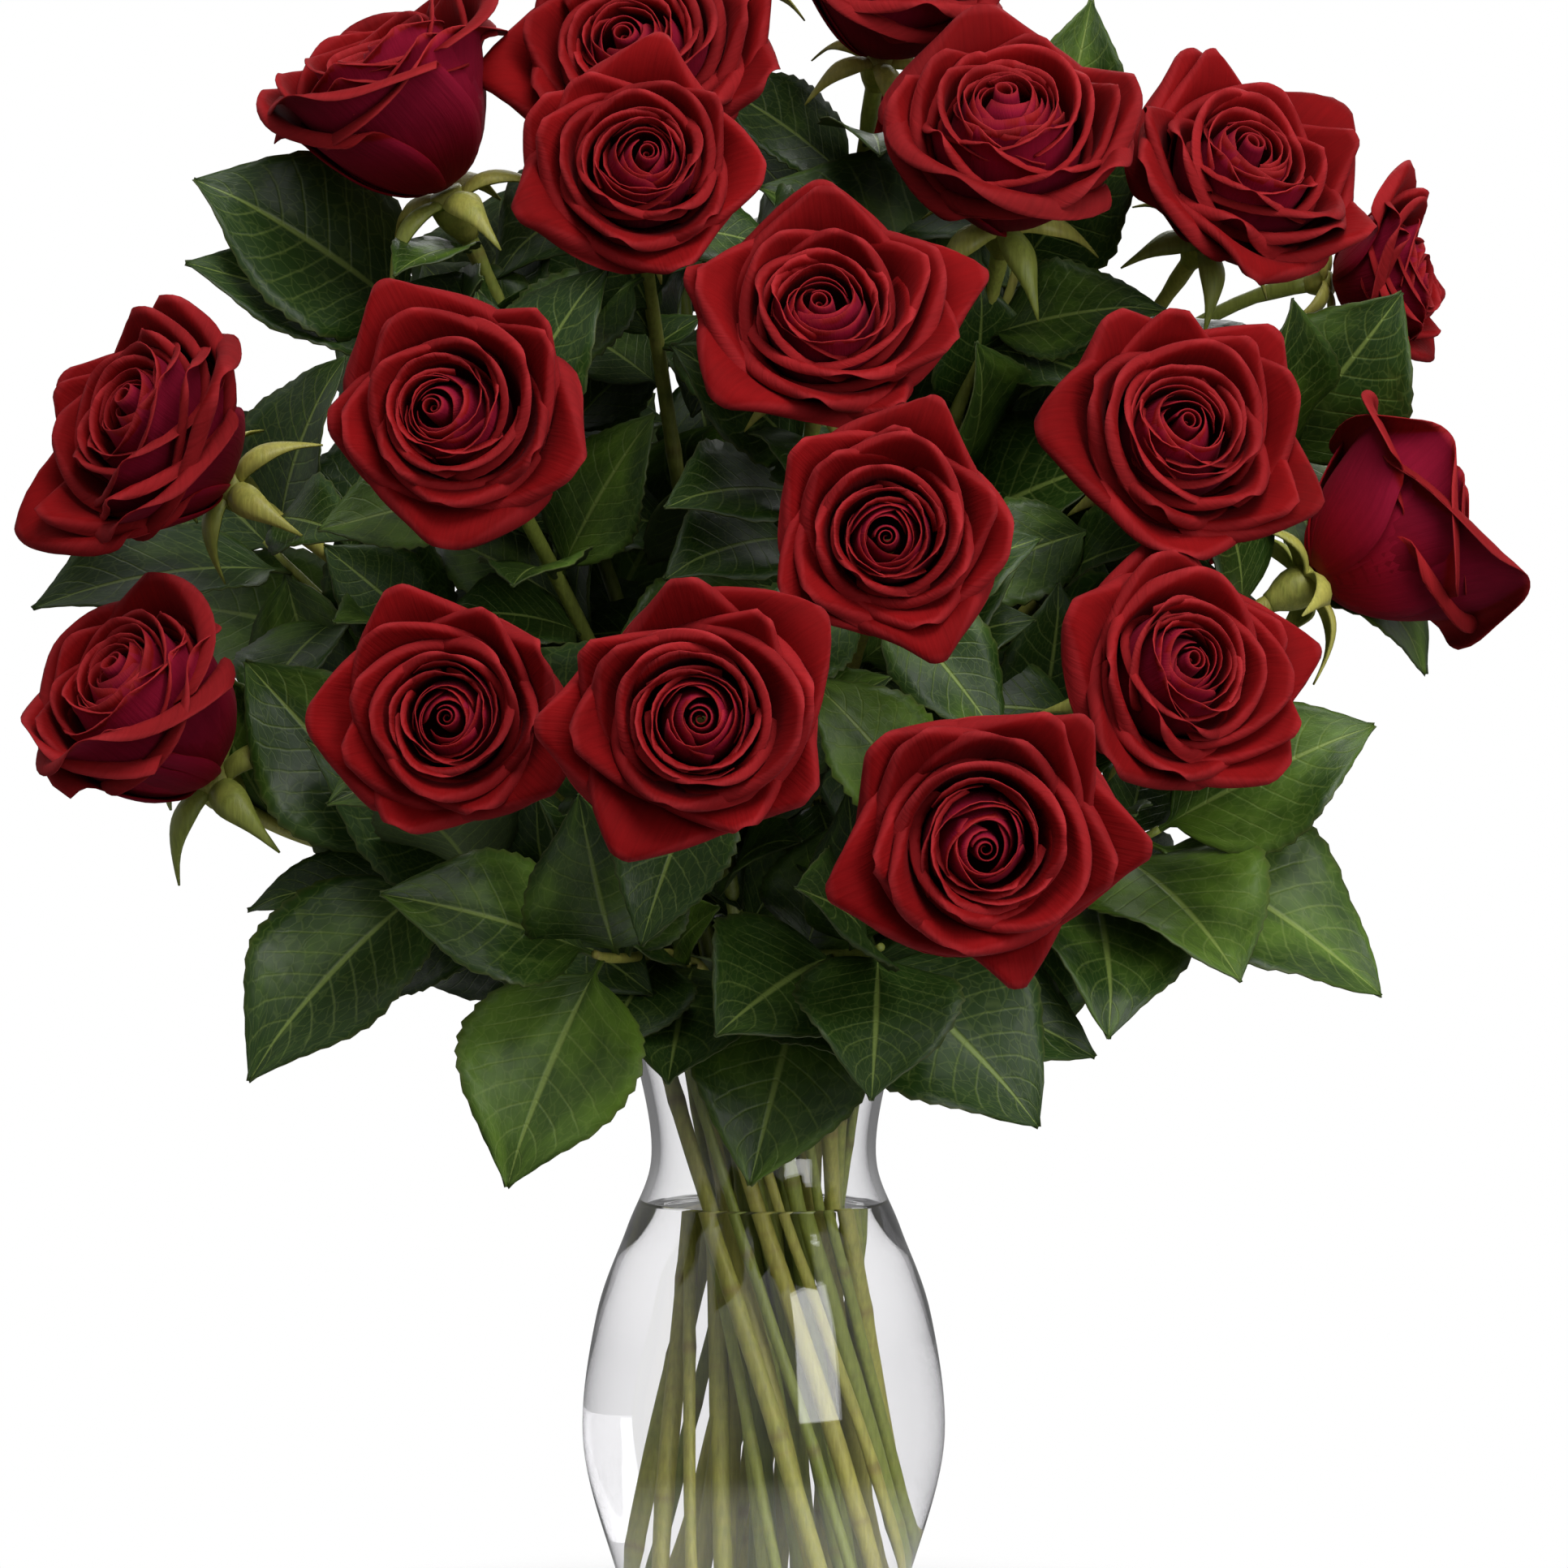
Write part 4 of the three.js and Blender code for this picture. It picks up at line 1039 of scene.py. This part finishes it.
def makePetalRed():
    finish = petalFinish
    s = Shader(bpy.data.materials.new("petalRed"))
    across, along, chance = s.mark("petal")
    folded, tint, side = s.mark("shade")
    veins = s.noise(s.joined(across * finish["veins"], along * 3.2, chance * 40), 4)
    mottle = s.noise(s.joined(across * 2.5, along * 4, chance * 40 + 7), 3)
    inward = side + (1 - side) * folded.within(0.02, 0.3)  # a folded margin is one colour right through
    color = s.blend(inward, finish["outer"], finish["inner"])
    color = s.layered(color, finish, [
        # painted shade: the heart colour deepens each petal's red towards its base
        ("heart", along.within(0.75, 0.15) * 0.75),
        # painted highlight on the lips and on the rolled margins' crests
        ("lip", along.within(0.94, 1.0) * 0.55 + folded.within(0.35, 0.95) * 0.45),
        ("pale", along.within(0.12, 0.02) * 0.6)])
    color = s.shaded(color, 0.74 + tint * 0.26 + veins.about(0.35) + mottle.about(0.5))
    surface = s.principled({
        "Base Color": color, "Roughness": finish["roughness"] + mottle.about(0.25),
        "Normal": s.bump(veins + mottle * 0.8, 0.0005, 0.55), "Sheen Weight": finish["sheen"],
        "Sheen Roughness": 0.4, "Sheen Tint": finish["sheenTint"], "Specular IOR Level": finish["gloss"]})
    return s.finish(surface)


leafFinish = {
    "upper": (0.024, 0.062, 0.007),
    "lit": (0.150, 0.270, 0.026),  # painted light on leaves that lie lit, and younger leaves and patches
    "under": (0.100, 0.150, 0.050),
    "vein": (0.270, 0.370, 0.080),
    "edge": (0.110, 0.110, 0.030),
    "roughness": 0.44,
    "coat": 0.09,
    "coatRoughness": 0.3,
    "gloss": 0.3,
}


def makeLeafGreen():
    finish = leafFinish
    s = Shader(bpy.data.materials.new("leafGreen"))
    across, along, chance = s.mark("petal")
    vein, _, side = s.mark("shade")
    wide = abs(across)
    rib = wide.within(0.05, 0.015)
    between = abs(vein.maths("FRACT", vein) * 2 - 1)
    sideVein = between.within(0.82, 1.0) * wide.within(0.98, 0.6) * 0.7
    net = s.node("TexVoronoi", {"feature": "DISTANCE_TO_EDGE"}, {
        "Vector": s.joined(across * 9, along * 16, chance * 9), "Scale": 1.0})
    netLine = net.within(0.09, 0.0)
    patch = s.noise(s.joined(across * 1.4, along * 2.2, chance * 30), 3)
    speck = s.noise(s.joined(across * 30, along * 50, chance * 30), 2)
    # painted light: the lit colour stands for leaves lying in light as well as for younger ones
    young = (chance * 0.9 + patch.about(1.1)).within(0.35, 1.05)
    color = s.blend(young, finish["upper"], finish["lit"])
    color = s.layered(color, finish, [
        ("under", side),
        ("vein", sideVein * (0.45 + side * 0.3) + netLine * 0.16),
        ("vein", rib * 0.85),
        ("edge", wide.within(0.93, 1.0) * 0.35)])
    color = s.shaded(color, 0.8 + patch.about(0.6) + speck.about(0.25))
    relief = 0.5 - sideVein * 0.6 - rib * 0.8 - netLine * 0.08 + speck.about(0.12)
    surface = s.principled({
        "Base Color": color, "Roughness": finish["roughness"] + side * 0.3 + patch.about(0.2),
        "Normal": s.bump(relief, 0.0005, 0.6), "Coat Weight": finish["coat"],
        "Coat Roughness": finish["coatRoughness"], "Specular IOR Level": finish["gloss"]})
    return s.finish(surface)


stemFinish = {
    "green": (0.300, 0.360, 0.060),
    "olive": (0.540, 0.510, 0.105),
    "node": (0.230, 0.130, 0.050),
    "blush": (0.260, 0.110, 0.050),
    "roughness": 0.48,
    "gloss": 0.45,
    "fibre": (900, 900, 90),
}


def makeStemGreen():
    finish = stemFinish
    s = Shader(bpy.data.materials.new("stemGreen"))
    run, node, chance = s.mark("petal")
    grain = s.noise(s.joined(run * 22, chance * 50, node), 4)
    fibre = s.noise(s.stretched(finish["fibre"]), 3)
    color = s.blend((grain * 0.6 + chance * 0.8).within(0.3, 1.0), finish["green"], finish["olive"])
    color = s.layered(color, finish, [
        ("blush", (grain + chance * 0.3).within(0.70, 1.05) * 0.25),
        ("node", node.within(0.35, 1.0) * 0.5)])
    surface = s.principled({
        "Base Color": s.shaded(color, 0.82 + fibre.about(0.7)),
        "Roughness": finish["roughness"] + fibre.about(0.25),
        "Normal": s.bump(fibre + grain * 0.5, 0.0004, 0.6), "Specular IOR Level": finish["gloss"]})
    return s.finish(surface)


def clearFinish(name, form):
    # a clear body that bends light and lets the lamps' rays through
    s = Shader(bpy.data.materials.new(name))
    wobble = s.noise(s.stretched(form["rippleScale"]), 2)
    smear = s.noise(s.place(), 3, 34.0)
    # painted shade: the body darkens towards its edge colour where it is seen on edge
    grazing = s.node("LayerWeight", None, {"Blend": 0.5}, "Facing")
    glass = s.principled({
        "Base Color": s.blend((grazing ** 3) * form["paintedEdgeShare"], form["color"], form["edge"]),
        "Roughness": smear.within(0.55, 0.8) * form["smear"],
        "Normal": s.bump(wobble, form["rippleHeight"], form["ripple"]),
        "IOR": form["ior"], "Transmission Weight": 1.0})
    lamp = s.node("BsdfTransparent", None, {"Color": form["color"]})
    return s.finish(s.either(s.ray("Is Shadow Ray"), glass, lamp))


petalRed = makePetalRed()
leafGreen = makeLeafGreen()
stemGreen = makeStemGreen()
clearGlass = clearFinish("clearGlass", vaseForm)
clearWater = clearFinish("clearWater", waterForm)
print("materials made")


def innerFloor(wallFoot, height):
    # the inside's round corner and slightly domed floor, from the wall's foot in to the axis
    form = vaseForm
    corner = form["cornerRound"]
    bend = np.radians(np.linspace(0, 90, form["arcSteps"]))
    across = wallFoot - form["cornerInset"] - corner + corner * np.cos(bend)
    arc = np.stack([across, height + corner - corner * np.sin(bend)], -1)
    return np.concatenate([arc, [(reach, height + rise) for reach, rise in form["dome"]]])


def turnedPiece(name, profile, material, node):
    points, faces = turnedSolid(profile, vaseForm["sides"])
    meshObject(name, [(points, faces, 0)], [material], node)


def makeVase():
    # up the outside, over a rounded rim and down the inside to the floor
    form = vaseForm
    outer = vaseOutline(form["smoothSteps"])
    top = outer[-1]
    rimRound = form["wall"] / 2
    bend = np.radians(np.linspace(0, 180, 9))
    rim = top - rimRound + rimRound * np.stack([np.cos(bend), np.sin(bend)], -1)
    outer = outer[outer[:, 1] < top[1] - rimRound]
    inner = outer[outer[:, 1] > form["floor"] + form["wallFrom"]] - [form["wall"], 0]
    profile = np.concatenate([form["foot"], outer, rim, inner[::-1], innerFloor(inner[0][0], form["floor"])])
    turnedPiece("glassVase", profile, clearGlass, "vase")


def makeWater():
    # fills the glass to its level, and stands up a little where it meets the wall
    form, wall = waterForm, vaseForm["wall"] - waterForm["wet"]
    outer = vaseOutline(vaseForm["smoothSteps"])
    wetted = outer[(outer[:, 1] > vaseForm["floor"] + vaseForm["wallFrom"]) & (outer[:, 1] < form["level"])]
    wetted = wetted - [wall, 0]
    narrow = outer[outer[:, 1] > vaseForm["bellyTop"]]
    brink = float(np.interp(form["level"], narrow[:, 1], narrow[:, 0])) - wall
    out = np.linspace(0, form["brim"], 9)
    low = form["level"] - form["climb"]
    surface = np.stack([brink - out, low + form["climb"] * np.exp(-out / form["climbFade"])], -1)
    floor = innerFloor(wetted[0][0], vaseForm["floor"] - form["wet"])
    profile = np.concatenate([floor[::-1], wetted, surface, [[0, low]]])
    turnedPiece("vaseWater", profile, clearWater, "water")


for number, rose in enumerate(roses, 1):
    rose["number"] = number
    rose["label"] = f"{number:02d}"
    rose["heading"] = facing(rose["yaw"], rose["pitch"])
    rose["root"] = np.array(rose["eye"]) - petalForm["budHeight"] * rose["size"] * rose["heading"]
for branch in branches:
    branch["end"] = np.array(branch["end"], float)

spots = neckSpots([rose["root"] for rose in roses] + [branch["end"] for branch in branches])
makeVase()
makeWater()
print("vase and water made")

for rose, spot in zip(roses, spots):
    end = rose["root"] - sheaf["bloomGap"] * rose["size"] * rose["heading"]
    rose["path"] = stemPath(spot, end, rose["heading"], sheaf["rose"])
    rose["grown"] = solidLeaves(rose, "stem_" + rose["label"], 1, leafForm["young"], roseAim)

for branch, spot in zip(branches, spots[len(roses):]):
    heading = unit(branch["end"] - straightPart(spot, rimHeight))
    branch["path"] = stemPath(spot, branch["end"], heading, sheaf["green"])
    branch["grown"] = solidLeaves(branch, branch["node"], leafForm["rooted"], branch["young"], branchAim)
    for place, tip, width in rimLeaves.get(branch["node"], []):
        root = bezier(branch["path"]["handles"], place)
        branch["grown"].append(newLeaf(root, np.array(tip, float), width))
plants = branches + roses
listed = sum(len(plant["leaves"]) for plant in plants) + sum(map(len, rimLeaves.values()))
grown = sum(len(plant["grown"]) for plant in plants)
print("leaves found in the solids or over the rim", grown, "of", listed)
growFillers(plants)

for rose in roses:
    makeBloom(rose)
    label = rose["label"]
    draw = np.random.default_rng(seeds["rose"] + rose["number"])
    parts = [stemPart(rose["path"], sheaf["rose"], draw)] + calyxParts(rose, draw)
    parts += [makeLeaf(leaf, draw, leafForm["roseTeeth"]) for leaf in rose["grown"]]
    meshObject("roseStem" + label, parts, [stemGreen, leafGreen], "stem_" + label, markNames)
print("roses made")

for branch in branches:
    node = branch["node"]
    draw = np.random.default_rng(seeds["branch"] + len(node) + int(branch["end"][2]))
    parts = [stemPart(branch["path"], sheaf["green"], draw)]
    parts += [makeLeaf(leaf, draw, leafForm["greenTeeth"]) for leaf in branch["grown"]]
    name = "leafy" + node.removeprefix("greenery_").title().replace("_", "")
    meshObject(name, parts, [stemGreen, leafGreen], node, markNames)
print("greenery made")

studio = {
    "floorReach": 0.6,
    "floorSides": 96,
    "floorTone": 0.93,
    "floorFade": (0.10, 0.26),  # where the floor starts and ends to fade into the white round it
    "floorGlow": 0.12,
    "cameraPlace": (0.007, -1.5, 0.308),
    "frameDepth": 5357 / 1932,  # the lens's length in picture widths
    "sensor": 36,
    "lampTarget": (0, 0, 0.34),
    "tent": 0.365,  # the soft light all round
}

# Each lamp's place in degrees right of the viewer and up, how far away it is, its size and its power.
lamps = {
    "key": ((16, 50), 2.0, (1.3, 1.0), 25.5),
    "window": ((36, 9), 1.6, (0.8, 1.0), 9),
    "back": ((165, 38), 2.0, (1.4, 1.1), 13),
}


def makeFloorWhite():
    # pale, and fading into the studio's white towards its rim
    s = Shader(bpy.data.materials.new("floorWhite"))
    x, y, _ = s.split(s.place())
    away = (x * x + y * y) ** 0.5
    tone = studio["floorTone"] + s.noise(s.place(), 2, 3.0).about(0.02)
    plain = s.principled({
        "Base Color": s.grey(tone), "Roughness": 0.85, "Specular IOR Level": 0.2, "Emission Color": (1, 1, 1),
        "Emission Strength": studio["floorGlow"]})
    return s.finish(s.either(away.within(*studio["floorFade"]), plain, s.node("BsdfTransparent")))


def makeFloor():
    sides = studio["floorSides"]
    mesh = bpy.data.meshes.new("floor")
    mesh.from_pydata(polar(studio["floorReach"], circle(sides), 0).tolist(), [], [tuple(range(sides))])
    mesh.materials.append(makeFloorWhite())
    addObject("floor", mesh)


def makeLamp(name, angles, away, size, power):
    lamp = bpy.data.lights.new(name, "AREA")
    lamp.shape = "RECTANGLE"
    lamp.size, lamp.size_y = size
    lamp.energy = power
    holder = addObject(name, lamp)
    way = Vector(facing(*angles))
    holder.location = Vector(studio["lampTarget"]) + way * away
    holder.rotation_euler = way.to_track_quat("Z", "Y").to_euler()


def makeSky():
    # a soft tent that lights from above more than from below, and plain white behind the subject
    s = Shader(bpy.data.worlds.new("studioSky"))
    bpy.context.scene.world = s.owner
    up = s.split(s.node("TexCoord", None, None, "Generated"))[2]
    tone = studio["tent"] * (0.35 + up.within(-0.5, 0.7) * 0.9)
    bounces = s.ray("Diffuse Depth") + s.ray("Glossy Depth")
    seen = s.ray("Is Camera Ray")
    path = seen + (1 - seen) * s.ray("Is Transmission Ray") * bounces.within(0.6, 0.4)
    tent = s.node("Background", None, {"Color": s.grey(tone), "Strength": 1.0})
    plain = s.node("Background", None, {"Color": (1, 1, 1), "Strength": 1.0})
    s.finish(s.either(path, tent, plain), "World")


def makeCamera():
    lens = bpy.data.cameras.new("viewer")
    lens.sensor_width = studio["sensor"]
    lens.lens = studio["sensor"] * studio["frameDepth"]
    camera = addObject("viewer", lens)
    camera.location = studio["cameraPlace"]
    camera.rotation_euler = (math.pi / 2, 0, 0)
    bpy.context.scene.camera = camera


makeFloor()
for name, lamp in lamps.items():
    makeLamp(name, *lamp)
makeSky()
makeCamera()
bpy.context.scene.view_settings.view_transform = "Standard"
print("studio made")
